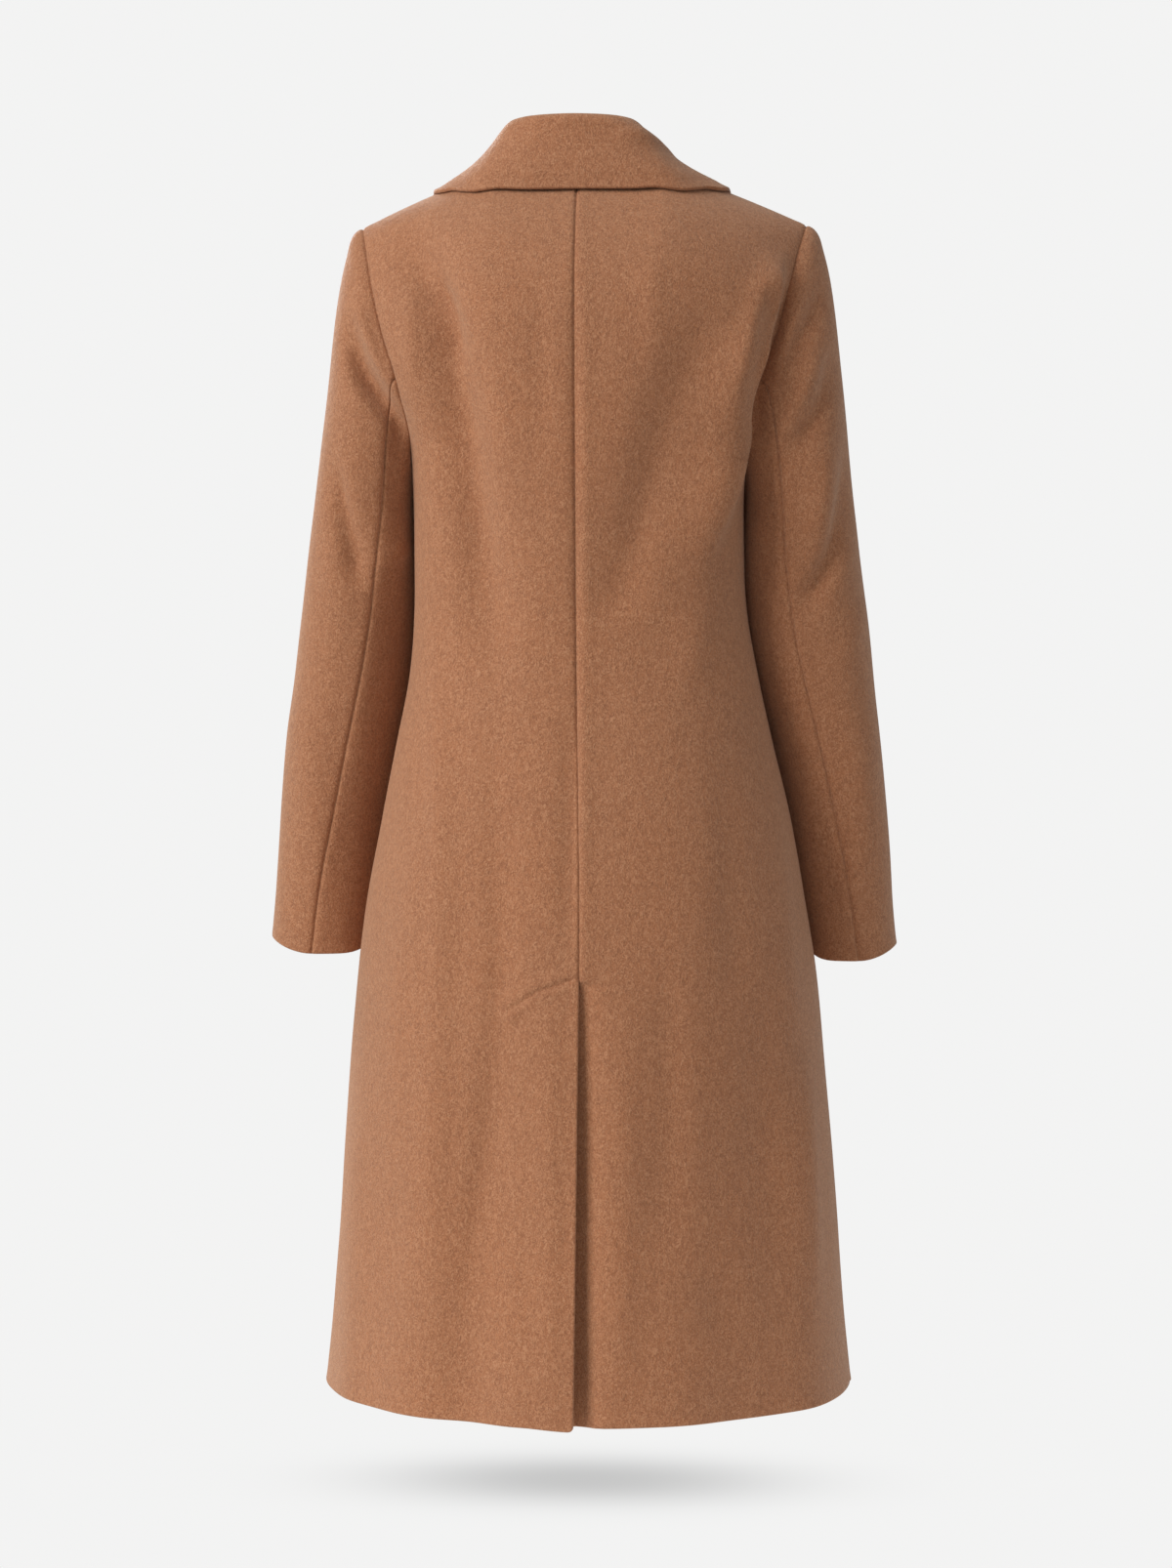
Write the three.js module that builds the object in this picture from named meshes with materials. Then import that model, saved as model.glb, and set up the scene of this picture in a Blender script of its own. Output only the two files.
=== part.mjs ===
// A long double-breasted coat of thick napped wool, filled out as if worn, with no wearer.
// Millimetres, +Z up, the fronts face -Y and the wearer's left is +X. The origin is on the
// centre line, level with the side neck points, where the shoulders carry the coat.
import * as THREE from "three";

// ---- driving sizes ----
const CLOTH = 3; // thickness of the wool cloth
const GAP = 0.35; // space between two pieces at a seam
const SHOULDER = { neckX: 74, tipX: 197.5, tipZ: -49, bow: 1.3 };
const UNDERARM_Z = -265;
const VENT_TOP_Z = -709;
const HEM_Z = -1080;
// How far the body leans to the wearer's left, over the chest and at the hem.
const LEAN = { chest: 4.4, chestZ: -370, hipZ: -680, hem: -3.5 };
const HEM_RISE = { by: 6, from: -1000 }; // how much the hem rises towards the side seams
const NECK_DEPTH = 48; // from the shoulder line back to the nape
const YOKE = { back: 150, front: 250 }; // height over which each side rounds to the shoulder
const ROUND = { back: 1.9, front: 1.6 }; // power of that rounding

const WRAP = 85; // how far each front passes the centre line
const BREAK_Z = -320; // where the lapel starts to roll
const UNDER_LAYER = CLOTH + 2; // how deep the under front lies below the over front
const ROLL_LIFT = 6; // how far a front stands off where its lapel rolls
const ROLL_OUT = 6; // outer radius of the lapel's fold

const VENT = { lapHemX: 4, underX: -42, recess: 12, recessFrom: 20, lift: 3 };

const BUTTON = { radius: 14, thick: 2.6, bevel: 0.6, hole: 1.5, holeAt: 3.2, sides: 20 };
const BUTTON_COLUMNS = [-57, 57];
const BUTTON_ROWS = [-334, -444, -554];

const WOOL = { color: 0xa4754f, roughness: 0.95, metalness: 0 };
const HORN = { color: 0x3b2a20, roughness: 0.35, metalness: 0 };

// ---- the body's plan, by height: half-widths, depths from the side seam, and how square
// the plan of each face is, as the power of its curve, 2 being an ellipse ----
const BODY = [
  { z: 20, left: 212, right: 211, back: 104, front: 122, backSquare: 2.4, frontSquare: 2.15 },
  { z: -54, left: 206, right: 204, back: 109, front: 134, backSquare: 2.4, frontSquare: 2.15 },
  { z: -110, left: 198, right: 194, back: 113, front: 143, backSquare: 2.4, frontSquare: 2.15 },
  { z: -150, left: 190, right: 185, back: 114, front: 149, backSquare: 2.4, frontSquare: 2.15 },
  { z: -200, left: 175, right: 167, back: 114, front: 154, backSquare: 2.4, frontSquare: 2.15 },
  { z: -240, left: 158, right: 148, back: 112, front: 155, backSquare: 2.4, frontSquare: 2.15 },
  { z: -265, left: 154, right: 142, back: 110, front: 154, backSquare: 2.4, frontSquare: 2.15 },
  { z: -330, left: 152, right: 141, back: 105, front: 149, backSquare: 2.4, frontSquare: 2.15 },
  { z: -390, left: 152, right: 143, back: 103, front: 146, backSquare: 2.38, frontSquare: 2.15 },
  { z: -450, left: 157, right: 153, back: 108, front: 147, backSquare: 2.32, frontSquare: 2.13 },
  { z: -510, left: 169, right: 166, back: 122, front: 150, backSquare: 2.26, frontSquare: 2.11 },
  { z: -570, left: 181, right: 180, back: 137, front: 153, backSquare: 2.2, frontSquare: 2.09 },
  { z: -640, left: 195, right: 192, back: 151, front: 156, backSquare: 2.14, frontSquare: 2.07 },
  { z: -709, left: 204, right: 203, back: 162, front: 158, backSquare: 2.1, frontSquare: 2.05 },
  { z: -800, left: 211, right: 211, back: 172, front: 162, backSquare: 2.06, frontSquare: 2.03 },
  { z: -900, left: 218, right: 219, back: 181, front: 166, backSquare: 2.03, frontSquare: 2 },
  { z: -1000, left: 225, right: 226, back: 191, front: 169, backSquare: 2.01, frontSquare: 2 },
  { z: -1080, left: 231, right: 233, back: 197, front: 172, backSquare: 2, frontSquare: 2 },
];

// The armhole seam, by height: how far out it lies on the back and on the front.
const ARMHOLE = [
  { z: -49, back: 197.5, front: 197.5, right: 0 },
  { z: -75, back: 192, front: 189, right: 2 },
  { z: -110, back: 185, front: 178, right: 4 },
  { z: -150, back: 175, front: 167, right: 4 },
  { z: -178, back: 166, front: 159, right: 6 },
  { z: -205, back: 159, front: 155, right: 9 },
  { z: -235, back: 153.5, front: 152.5, right: 11.5 },
  { z: -265, back: 154, front: 154, right: 12 },
];

// The front's inner edge, by height: down the neck, then along the roll line of the lapel.
const FRONT_EDGE = [
  { z: 0, x: 74 },
  { z: -12, x: 68.5 },
  { z: -32, x: 59 },
  { z: -60, x: 45 },
  { z: BREAK_Z, x: -WRAP },
];

// The sleeve below the underarm, by height: outer and inner side on the left and on the
// right, its middle and half its depth in y, and the angle of the hind seam from the top.
const SLEEVE = [
  { z: -300, out: 244, outRight: 241, in: 152.1, inRight: 142.1, mid: -25, depth: 68, seam: 106 },
  { z: -345, out: 251, outRight: 246, in: 150.6, inRight: 141, mid: -31, depth: 66, seam: 104 },
  { z: -400, out: 258.5, outRight: 253, in: 150.5, inRight: 143.6, mid: -37, depth: 63, seam: 102 },
  { z: -450, out: 264.5, outRight: 258.5, in: 155, inRight: 151.5, mid: -42, depth: 60, seam: 99 },
  { z: -500, out: 272, outRight: 264.5, in: 162.8, inRight: 163, mid: -45, depth: 57, seam: 96 },
  { z: -550, out: 276.5, outRight: 269, in: 172, inRight: 173.8, mid: -48, depth: 54, seam: 93 },
  { z: -600, out: 280, outRight: 273, in: 181.2, inRight: 183.3, mid: -50, depth: 51, seam: 90 },
  { z: -650, out: 283, outRight: 276, in: 189, inRight: 191.1, mid: -52, depth: 49, seam: 87 },
  { z: -696, out: 286, outRight: 280, in: 194.2, inRight: 198.5, mid: -54, depth: 48, seam: 85 },
];
const CUFF = { z: -696, from: -640, rise: 14, drop: { left: 1.5, right: 7 } }; // rises outside

// The collar, from the centre back (at 0) by the side neck to the gorge (at 1): the top of
// its roll, and the place in plan where its outer edge rests on the body.
const COLLAR = [
  { at: 0, rollX: 0, rollY: 53, rollZ: 42, edgeX: 0, edgeY: 61 },
  { at: 0.2, rollX: 29, rollY: 50, rollZ: 41.5, edgeX: 48, edgeY: 60 },
  { at: 0.4, rollX: 53, rollY: 37, rollZ: 39.5, edgeX: 90, edgeY: 52 },
  { at: 0.6, rollX: 64, rollY: 10, rollZ: 32, edgeX: 116, edgeY: 36 },
  { at: 0.73, rollX: 64, rollY: -5, rollZ: 24, edgeX: 126, edgeY: 10 },
  { at: 0.87, rollX: 60, rollY: -35, rollZ: 0, edgeX: 131, edgeY: -16 },
  { at: 1, rollX: 46, rollY: -78, rollZ: -48, edgeX: 135, edgeY: -42 },
];
const COLLAR_SWAY = 9; // how far the top of the collar leans to the wearer's left

// The broad folds of the cloth, each along a line from its top to its bottom, on the back
// (face 1) or a front (face -1). Height is out of the surface, so a trough is negative.
const FOLDS = [
  { face: 1, x0: 150, z0: -200, x1: 82, z1: -560, wide: 22, height: -5 },
  { face: 1, x0: 48, z0: -130, x1: 46, z1: -420, wide: 20, height: -3.5 },
  { face: 1, x0: -92, z0: -140, x1: -28, z1: -420, wide: 20, height: -4 },
  { face: 1, x0: -142, z0: -180, x1: -92, z1: -480, wide: 18, height: 3 },
  { face: 1, x0: 140, z0: -420, x1: 150, z1: -1150, wide: 24, height: 5 },
  { face: 1, x0: 62, z0: -720, x1: 100, z1: -1180, wide: 26, height: -6 },
  { face: 1, x0: -118, z0: -620, x1: -128, z1: -1180, wide: 26, height: -6 },
  { face: 1, x0: -186, z0: -760, x1: -196, z1: -1180, wide: 20, height: 5 },
  { face: 1, x0: 196, z0: -760, x1: 204, z1: -1180, wide: 18, height: 4 },
  { face: -1, x0: 142, z0: -480, x1: 150, z1: -1180, wide: 30, height: 6 },
  { face: -1, x0: -140, z0: -500, x1: -158, z1: -1180, wide: 30, height: 6 },
  { face: -1, x0: 96, z0: -620, x1: 100, z1: -1180, wide: 24, height: -5 },
  { face: -1, x0: -98, z0: -660, x1: -100, z1: -1180, wide: 24, height: -5 },
];

// ---- small tools ----
const { clamp, lerp, degToRad } = THREE.MathUtils;
const vec = (x, y, z) => new THREE.Vector3(x, y, z);
const ramp = (t) => THREE.MathUtils.smoothstep(t, 0, 1);
const power = (t, n) => Math.sign(t) * Math.abs(t) ** n;
const range = (count) => Array.from({ length: count + 1 }, (_, i) => i);

// A named column of a table, read smoothly between its rows.
function read(table, key, at, name) {
  const last = table.length - 1;
  const way = Math.sign(table[last][key] - table[0][key]);
  let i = 0;
  while (i < last - 1 && (at - table[i + 1][key]) * way > 0) i += 1;
  const slope = (j) => {
    const before = table[Math.max(j - 1, 0)];
    const after = table[Math.min(j + 1, last)];
    return (after[name] - before[name]) / (after[key] - before[key]);
  };
  const span = table[i + 1][key] - table[i][key];
  const t = clamp((at - table[i][key]) / span, 0, 1);
  const rest = 1 - t;
  return (
    table[i][name] * (1 + 2 * t) * rest * rest +
    table[i + 1][name] * t * t * (3 - 2 * t) +
    span * t * rest * (slope(i) * rest - slope(i + 1) * t)
  );
}

// ---- the body's surface: an explicit form over the front view, for each face ----
function shoulderZ(x) {
  const past = Math.max(Math.abs(x) - SHOULDER.neckX, 0) / (SHOULDER.tipX - SHOULDER.neckX);
  return SHOULDER.tipZ * past ** SHOULDER.bow;
}

const faceName = (face) => (face > 0 ? "back" : "front");
const square = (z, face) => read(BODY, "z", z, `${faceName(face)}Square`);
const halfWidth = (x, z) => read(BODY, "z", z, x < 0 ? "right" : "left");

// How much of its full depth the body has at a height below the shoulder line.
function yokeShare(below, face) {
  const part = clamp(below / YOKE[faceName(face)], 0, 1);
  const n = ROUND[faceName(face)];
  return (1 - (1 - part) ** n) ** (1 / n);
}

function belowForShare(share, face) {
  const n = ROUND[faceName(face)];
  return YOKE[faceName(face)] * (1 - (1 - share ** n) ** (1 / n));
}

function planShare(x, z, face) {
  const n = square(z, face);
  return Math.max(1 - Math.abs(x / halfWidth(x, z)) ** n, 0) ** (1 / n);
}

function bodyDepth(x, z, face) {
  const depth = read(BODY, "z", z, faceName(face));
  return depth * planShare(x, z, face) * yokeShare(shoulderZ(x) - z, face);
}

// The height of the body's surface over a place in plan, near the neck and shoulders.
function heightOver(x, y) {
  const face = y >= 0 ? 1 : -1;
  let z = shoulderZ(x);
  for (let i = 0; i < 4; i += 1) {
    const depth = read(BODY, "z", z, faceName(face)) * planShare(x, z, face);
    z = shoulderZ(x) - belowForShare(Math.min(Math.abs(y) / depth, 0.99), face);
  }
  return z;
}

// Outward normal of the smooth body, from the slope of its implicit form.
function bodyNormal(x, z, face) {
  const below = shoulderZ(x) - z;
  if (below < 0.5) {
    const run = SHOULDER.tipX - SHOULDER.neckX;
    return vec(-Math.sign(x) * SHOULDER.tipZ, 0, run).normalize();
  }
  const y = bodyDepth(x, z, face);
  const form = (px, py, pz) => {
    const n = square(pz, face);
    const depth = read(BODY, "z", pz, faceName(face)) * yokeShare(shoulderZ(px) - pz, face);
    return Math.abs(px / halfWidth(px, pz)) ** n + Math.abs(py / depth) ** n;
  };
  const step = 0.25;
  return vec(
    form(x + step, y, z) - form(x - step, y, z),
    face * (form(x, y + step, z) - form(x, y - step, z)),
    form(x, y, z + step) - form(x, y, z - step),
  ).normalize();
}

function foldHeight(x, z, face) {
  const share = planShare(x, z, face);
  const perFold = FOLDS.filter((fold) => fold.face === face).map((fold) => {
    const t = (z - fold.z0) / (fold.z1 - fold.z0);
    const ends = ramp(t / 0.35) * ramp((1 - t) / 0.15);
    const off = (x - lerp(fold.x0, fold.x1, t)) / fold.wide;
    return fold.height * ends * Math.exp(-off * off);
  });
  return perFold.reduce((sum, height) => sum + height, 0) * ramp(share / 0.3);
}

// How far a place on the body lies to the side of its even form, none at the side seams.
function leanAt(x, z) {
  const middle = 1 - Math.min((x / halfWidth(x, z)) ** 2, 1);
  const chest = LEAN.chest * middle * ramp((z - LEAN.hipZ) / (LEAN.chestZ - LEAN.hipZ));
  return chest + LEAN.hem * ramp(z / HEM_Z);
}

// A point of the body's cloth with its normal. layer moves it out of the smooth surface.
function bodyPoint(x, z, face, layer = 0) {
  const normal = bodyNormal(x, z, face);
  const level = vec(normal.x, normal.y, 0);
  if (level.length() > 0.01) level.normalize();
  const place = vec(x, face * bodyDepth(x, z, face), z);
  place.addScaledVector(level, foldHeight(x, z, face)).addScaledVector(normal, layer);
  place.x += leanAt(x, z);
  const aside = Math.abs(x / halfWidth(x, z)) ** 3;
  place.z += HEM_RISE.by * aside * ramp((HEM_RISE.from - z) / (HEM_RISE.from - HEM_Z));
  return { place, normal };
}

// ---- walls of cloth ----
// A grid of {place, normal}. Each side that meets another piece moves in, square to itself.
function trimEdge(border, inside, by) {
  const last = border.length - 1;
  const moves = border.map(({ place }, i) => {
    const along = border[Math.min(i + 1, last)].place.clone();
    along.sub(border[Math.max(i - 1, 0)].place).normalize();
    const way = inside[i].place.clone().sub(place);
    return way.addScaledVector(along, -way.dot(along)).setLength(by);
  });
  border.forEach(({ place }, i) => place.add(moves[i]));
}

// start and end hold the first and last row that is sewn there; top and foot hold a gap.
function trim(grid, { top, foot, start, end }) {
  const column = ([first, last], j) => grid.slice(first, last + 1).map((row) => row.at(j));
  if (top) trimEdge(grid[0], grid[1], top / 2);
  if (foot) trimEdge(grid.at(-1), grid.at(-2), foot / 2);
  if (start) trimEdge(column(start, 0), column(start, 1), GAP / 2);
  if (end) trimEdge(column(end, -1), column(end, -2), GAP / 2);
  return grid;
}

function wall(name, grid, look, thick = CLOTH) {
  const rows = grid.length;
  const cols = grid[0].length;
  const points = [];
  for (const side of [0, thick]) {
    for (const { place, normal } of grid.flat()) {
      points.push(place.clone().addScaledVector(normal, -side));
    }
  }
  const at = (i, j, side) => side * rows * cols + i * cols + j;
  const faces = [];
  const apart = (a, b) => points[a].distanceTo(points[b]);
  const quad = (a, b, c, d) => { // split along its shorter diagonal
    if (apart(a, c) <= apart(b, d)) faces.push([a, b, c], [a, c, d]);
    else faces.push([a, b, d], [b, c, d]);
  };
  for (let i = 0; i < rows - 1; i += 1) {
    for (let j = 0; j < cols - 1; j += 1) {
      quad(at(i, j, 0), at(i + 1, j, 0), at(i + 1, j + 1, 0), at(i, j + 1, 0));
      quad(at(i, j, 1), at(i, j + 1, 1), at(i + 1, j + 1, 1), at(i + 1, j, 1));
    }
  }
  for (let i = 0; i < rows - 1; i += 1) {
    quad(at(i, 0, 0), at(i, 0, 1), at(i + 1, 0, 1), at(i + 1, 0, 0));
    quad(at(i, cols - 1, 0), at(i + 1, cols - 1, 0), at(i + 1, cols - 1, 1), at(i, cols - 1, 1));
  }
  for (let j = 0; j < cols - 1; j += 1) {
    quad(at(0, j, 0), at(0, j + 1, 0), at(0, j + 1, 1), at(0, j, 1));
    quad(at(rows - 1, j, 0), at(rows - 1, j, 1), at(rows - 1, j + 1, 1), at(rows - 1, j + 1, 0));
  }
  const volume = faces.reduce((sum, [a, b, c]) => {
    const cross = points[b].clone().cross(points[c]);
    return sum + points[a].dot(cross);
  }, 0);
  const turned = volume < 0 ? faces.map(([a, b, c]) => [a, c, b]) : faces;
  const shape = new THREE.BufferGeometry().setFromPoints(points);
  shape.setIndex(turned.flat());
  const mesh = new THREE.Mesh(shape, new THREE.MeshStandardMaterial(look));
  mesh.name = name;
  return mesh;
}

// ---- rows and columns of the body's panels ----
const UPPER_ROWS = 10; // from the shoulder to the underarm
const LOWER_ROWS = [
  -292, BREAK_Z, -365, -415, -475, -540, -605, -660, VENT_TOP_Z,
  -716, -740, -805, -875, -945, -1015, HEM_Z,
];
const BREAK_ROW = UPPER_ROWS + 2;
const GORGE_ROW = 3; // the row whose inner end is where collar and lapel meet
const VENT_ROW = UPPER_ROWS + LOWER_ROWS.indexOf(VENT_TOP_Z) + 1;
const NECK_COLS = 6;
const SHOULDER_COLS = 8;
const PANEL_COLS = NECK_COLS + SHOULDER_COLS;

const drop = (i) => (1 - Math.cos((Math.PI * i) / UPPER_ROWS)) / 2;
const armholeZ = (i) => lerp(SHOULDER.tipZ, UNDERARM_Z, drop(i));

function armholeX(i, side, face) {
  const z = armholeZ(i);
  const out = read(ARMHOLE, "z", z, faceName(face));
  return side > 0 ? out : out - read(ARMHOLE, "z", z, "right");
}

// Shares of the way from x = from to x = to, evenly spread round the body's plan.
function planSpread(from, to, half, n, share) {
  const angle = (x) => Math.asin(clamp(power(x / half, n / 2), -1, 1));
  return half * power(Math.sin(lerp(angle(from), angle(to), share)), 2 / n);
}

function backNeckline(x) {
  const round = NECK_DEPTH * Math.sqrt(Math.max(1 - (x / SHOULDER.neckX) ** 2, 0));
  return -belowForShare(round / BODY[0].back, 1);
}

// The seam's own normal round the armhole, so that body and sleeve meet edge to edge.
function armholeNormal(place, side) {
  const tip = vec(side * SHOULDER.tipX, 0, SHOULDER.tipZ);
  const foot = vec(side * 150, 0, UNDERARM_Z);
  const middle = tip.clone().add(foot).multiplyScalar(0.5);
  const up = tip.clone().sub(foot).normalize();
  const away = place.clone().sub(middle);
  const normal = up.clone().multiplyScalar(away.dot(up) / 108 ** 2);
  normal.y = away.y / 60 ** 2;
  return normal.normalize();
}

// One half of the back. lowIn gives the inner edge below the top of the vent, and layer
// the depth at which the cloth lies.
function backGrid(side, lowIn, layer) {
  const topX = (j) => {
    if (j <= NECK_COLS) return SHOULDER.neckX * Math.sin((Math.PI * j) / 2 / NECK_COLS);
    return lerp(SHOULDER.neckX, SHOULDER.tipX, (j - NECK_COLS) / SHOULDER_COLS);
  };
  const topZ = (x) => (x < SHOULDER.neckX ? backNeckline(x) : shoulderZ(side * x));
  const upper = range(UPPER_ROWS).map((i) => {
    const edge = armholeX(i, side, 1);
    const half = Math.max(halfWidth(side, armholeZ(i)), edge);
    return range(PANEL_COLS).map((j) => {
      const spread = planSpread(0, edge, half, square(armholeZ(i), 1), j / PANEL_COLS);
      const x = lerp((topX(j) * edge) / SHOULDER.tipX, spread, drop(i));
      const z = lerp(topZ(topX(j)), UNDERARM_Z, drop(i));
      const point = bodyPoint(side * x, z, 1);
      if (j === PANEL_COLS) point.normal = armholeNormal(point.place, side);
      return point;
    });
  });
  const lower = LOWER_ROWS.map((z) => {
    const half = halfWidth(side, z);
    return range(PANEL_COLS).map((j) => {
      const x = planSpread(lowIn(z), half, half, square(z, 1), j / PANEL_COLS);
      return bodyPoint(side * x, z, 1, layer(x, z));
    });
  });
  return [...upper, ...lower];
}

// One front. side 1 lies under and side -1 laps over. x is measured towards its own side.
function frontLayer(x, z, side) {
  const fromEdge = x - read(FRONT_EDGE, "z", z, "x");
  const rolling = ramp((z - (side > 0 ? -150 : BREAK_Z)) / 70) * ramp((-10 - z) / 40);
  const lift = ROLL_LIFT * rolling * Math.exp(-((fromEdge / 30) ** 2));
  if (side < 0) return lift;
  return lift - UNDER_LAYER * ramp((-85 - z) / 60) * (1 - ramp((x - 92) / 50));
}

function frontPoint(x, z, side, out = 0) {
  return bodyPoint(side * x, z, -1, frontLayer(x, z, side) + out);
}

function frontGrid(side) {
  const upper = range(UPPER_ROWS).map((i) => {
    const edge = armholeX(i, side, -1);
    const half = Math.max(halfWidth(side, armholeZ(i)), edge);
    const innerZ = lerp(0, UNDERARM_Z, drop(i));
    const inner = read(FRONT_EDGE, "z", innerZ, "x");
    return range(PANEL_COLS).map((j) => {
      const even = lerp(inner, edge, j / PANEL_COLS);
      const spread = planSpread(inner, edge, half, square(armholeZ(i), -1), j / PANEL_COLS);
      const x = lerp(even, spread, drop(i));
      const topX = lerp(SHOULDER.neckX, SHOULDER.tipX, j / PANEL_COLS);
      const point = frontPoint(x, lerp(shoulderZ(side * topX), UNDERARM_Z, drop(i)), side);
      if (j === PANEL_COLS) point.normal = armholeNormal(point.place, side);
      return point;
    });
  });
  const lower = LOWER_ROWS.map((z) => {
    const half = halfWidth(side, z);
    const inner = z >= BREAK_Z ? read(FRONT_EDGE, "z", z, "x") : -WRAP;
    return range(PANEL_COLS).map((j) => {
      return frontPoint(planSpread(inner, half, half, square(z, -1), j / PANEL_COLS), z, side);
    });
  });
  return [...upper, ...lower];
}

// ---- the vent: the left half laps over, the right half turns in under it ----
const ventShare = (z) => clamp((VENT_TOP_Z - z) / (VENT_TOP_Z - HEM_Z), 0, 1);

function lapEdge(z) {
  return VENT.lapHemX * ventShare(z);
}

function lapLayer(x, z) {
  return VENT.lift * ramp(ventShare(z) * 3) * (1 - ramp((x - 5) / 40));
}

function underEdge(z) {
  return VENT.underX * ramp((-716 - z) / 20);
}

function underLayer(x, z) {
  const first = (CLOTH + 2) * ramp((VENT_TOP_Z - z) / 7);
  const depth = first + (VENT.recess - CLOTH - 2) * ventShare(z);
  return -depth * ramp((VENT.recessFrom - x) / VENT.recessFrom);
}

function levelHem(grid) {
  for (const { normal } of grid[grid.length - 1]) {
    normal.z = 0;
    normal.normalize();
  }
  return grid;
}

// ---- sleeves: a tube from the armhole seam to the cuff ----
const CAP_ROWS = 7;
const ARM_ROWS = SLEEVE.slice(1).map((row) => row.z);
const CAP_Z = SLEEVE[0].z;
const RING = 20; // columns round the sleeve, 0 on top, 10 under the arm, back side first
const HIND_SEAM = 6;
const FORE_SEAM = 13;
const OVAL = 2.3; // power of the sleeve's section

function sleeveRing(side, z, k) {
  const face = k <= RING / 2 ? 1 : -1;
  const step = face > 0 ? k : RING - k;
  const seam = read(SLEEVE, "z", z, "seam");
  const half = RING / 2;
  const turn = face < 0 ? (180 * step) / half
    : step <= HIND_SEAM ? (seam * step) / HIND_SEAM
      : lerp(seam, 180, (step - HIND_SEAM) / (half - HIND_SEAM));
  const angle = degToRad(turn);
  const out = read(SLEEVE, "z", z, side > 0 ? "out" : "outRight");
  const inner = read(SLEEVE, "z", z, side > 0 ? "in" : "inRight");
  const x = (out + inner) / 2 + ((out - inner) / 2) * power(Math.cos(angle), 2 / OVAL);
  const reach = read(SLEEVE, "z", z, "depth") * power(Math.sin(angle), 2 / OVAL);
  const low = ramp((CUFF.from - z) / (CUFF.from - CUFF.z));
  const dropped = side < 0 ? CUFF.drop.right : CUFF.drop.left;
  const turnUp = CUFF.rise * Math.max(Math.cos(angle), 0) ** 2 - dropped;
  return vec(side * x, read(SLEEVE, "z", z, "mid") + face * reach, z + low * turnUp);
}

function armholeStart(side, k) {
  const face = k <= RING / 2 ? 1 : -1;
  const step = face > 0 ? k : RING - k;
  const x = armholeX(step, side, face);
  const { place } = bodyPoint(side * x, armholeZ(step), face);
  return { place, normal: armholeNormal(place, side) };
}

// The cap: from the seam it leaves square to the armhole, then turns down into the arm.
function capPoint(side, k, t) {
  const start = armholeStart(side, k).place;
  const end = sleeveRing(side, CAP_Z, k);
  const length = start.distanceTo(end);
  const outward = vec(side * 0.975, 0, -0.22);
  const upward = end.clone().sub(sleeveRing(side, CAP_Z - 20, k)).normalize();
  const topness = (1 + Math.cos((2 * Math.PI * k) / RING)) / 2;
  const curve = new THREE.CubicBezierCurve3(
    start,
    start.clone().addScaledVector(outward, length * 0.1),
    end.clone().addScaledVector(upward, length * lerp(0.34, 0.52, topness)),
    end,
  );
  return curve.getPoint(t);
}

function sleeveTube(side) {
  const places = [
    ...range(CAP_ROWS).map((i) => range(RING - 1).map((k) => capPoint(side, k, i / CAP_ROWS))),
    ...ARM_ROWS.map((z) => range(RING - 1).map((k) => sleeveRing(side, z, k))),
  ];
  const last = places.length - 1;
  return places.map((row, i) => row.map((place, k) => {
    if (i === 0) return armholeStart(side, k);
    const round = row[(k + 1) % RING].clone().sub(row[(k + RING - 1) % RING]);
    const along = places[Math.min(i + 1, last)][k].clone().sub(places[i - 1][k]);
    const normal = along.cross(round).multiplyScalar(side).normalize();
    if (i === last) normal.setZ(0).normalize();
    return { place, normal };
  }));
}

function sleevePiece(name, tube, from, to) {
  const columns = range(to - from).map((j) => (from + j + RING) % RING);
  const grid = tube.map((row) => columns.map((k) => ({
    place: row[k].place.clone(),
    normal: row[k].normal,
  })));
  const all = [0, tube.length - 1];
  return wall(name, trim(grid, { top: GAP, start: all, end: all }), WOOL);
}

// ---- lapels and collar: leaves that roll over from an edge and lie on the body ----
const ROLL_STEPS = [-90, -45, 0, 45, 90];
const FLAT_STEPS = 6;
const LAPEL_TIP = { x: 148, z: -111 };
const LAPEL_BELLY = { x: 48.5, z: -234.5 };
const NOTCH_SHARE = 0.6; // how far along the lapel's upper edge the collar ends
const REST = CLOTH + 1.8; // outer face of a leaf that lies on a panel
const GORGE_GAP = 1.2; // between lapel and collar at the gorge
const OVER_REST = REST + 1.8; // outer face of the collar, whose edge lies over two panels

// The rolled start of a leaf on an edge: half a turn of cloth towards the opening.
function rollStart(edge, inward, radius) {
  return ROLL_STEPS.map((step) => {
    const angle = degToRad(step);
    const away = radius * Math.sin(angle) + radius - CLOTH;
    return edge.place.clone().addScaledVector(edge.normal, away)
      .addScaledVector(inward, -radius * Math.cos(angle));
  });
}

function flatPoint(edge, side, radius, target, share) {
  const startX = side * (edge.place.x - leanAt(edge.place.x, edge.place.z));
  const x = lerp(startX, target.x, share);
  const z = lerp(edge.place.z, target.z, share);
  const out = lerp(REST, 2 * radius, (1 - share) ** 2);
  return frontPoint(x, z, side, out).place;
}

function lapelOutline(share) {
  const rest = 1 - share;
  const end = { x: -WRAP + 4, z: BREAK_Z + 1 };
  const mix = (key) => rest * rest * LAPEL_TIP[key] + 2 * share * rest * LAPEL_BELLY[key]
    + share * share * end[key];
  return { x: mix("x"), z: mix("z") };
}

// Normals of a free leaf, from its own grid; its first column takes the edge's, reversed.
function leafGrid(places, edges, side) {
  const rows = places.length - 1;
  const cols = places[0].length - 1;
  return places.map((row, i) => row.map((place, j) => {
    if (j === 0) return { place, normal: edges[i].normal.clone().negate() };
    const down = places[Math.min(i + 1, rows)][j].clone().sub(places[Math.max(i - 1, 0)][j]);
    const across = row[Math.min(j + 1, cols)].clone().sub(row[j - 1]);
    return { place, normal: across.cross(down).multiplyScalar(-side).normalize() };
  }));
}

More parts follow.
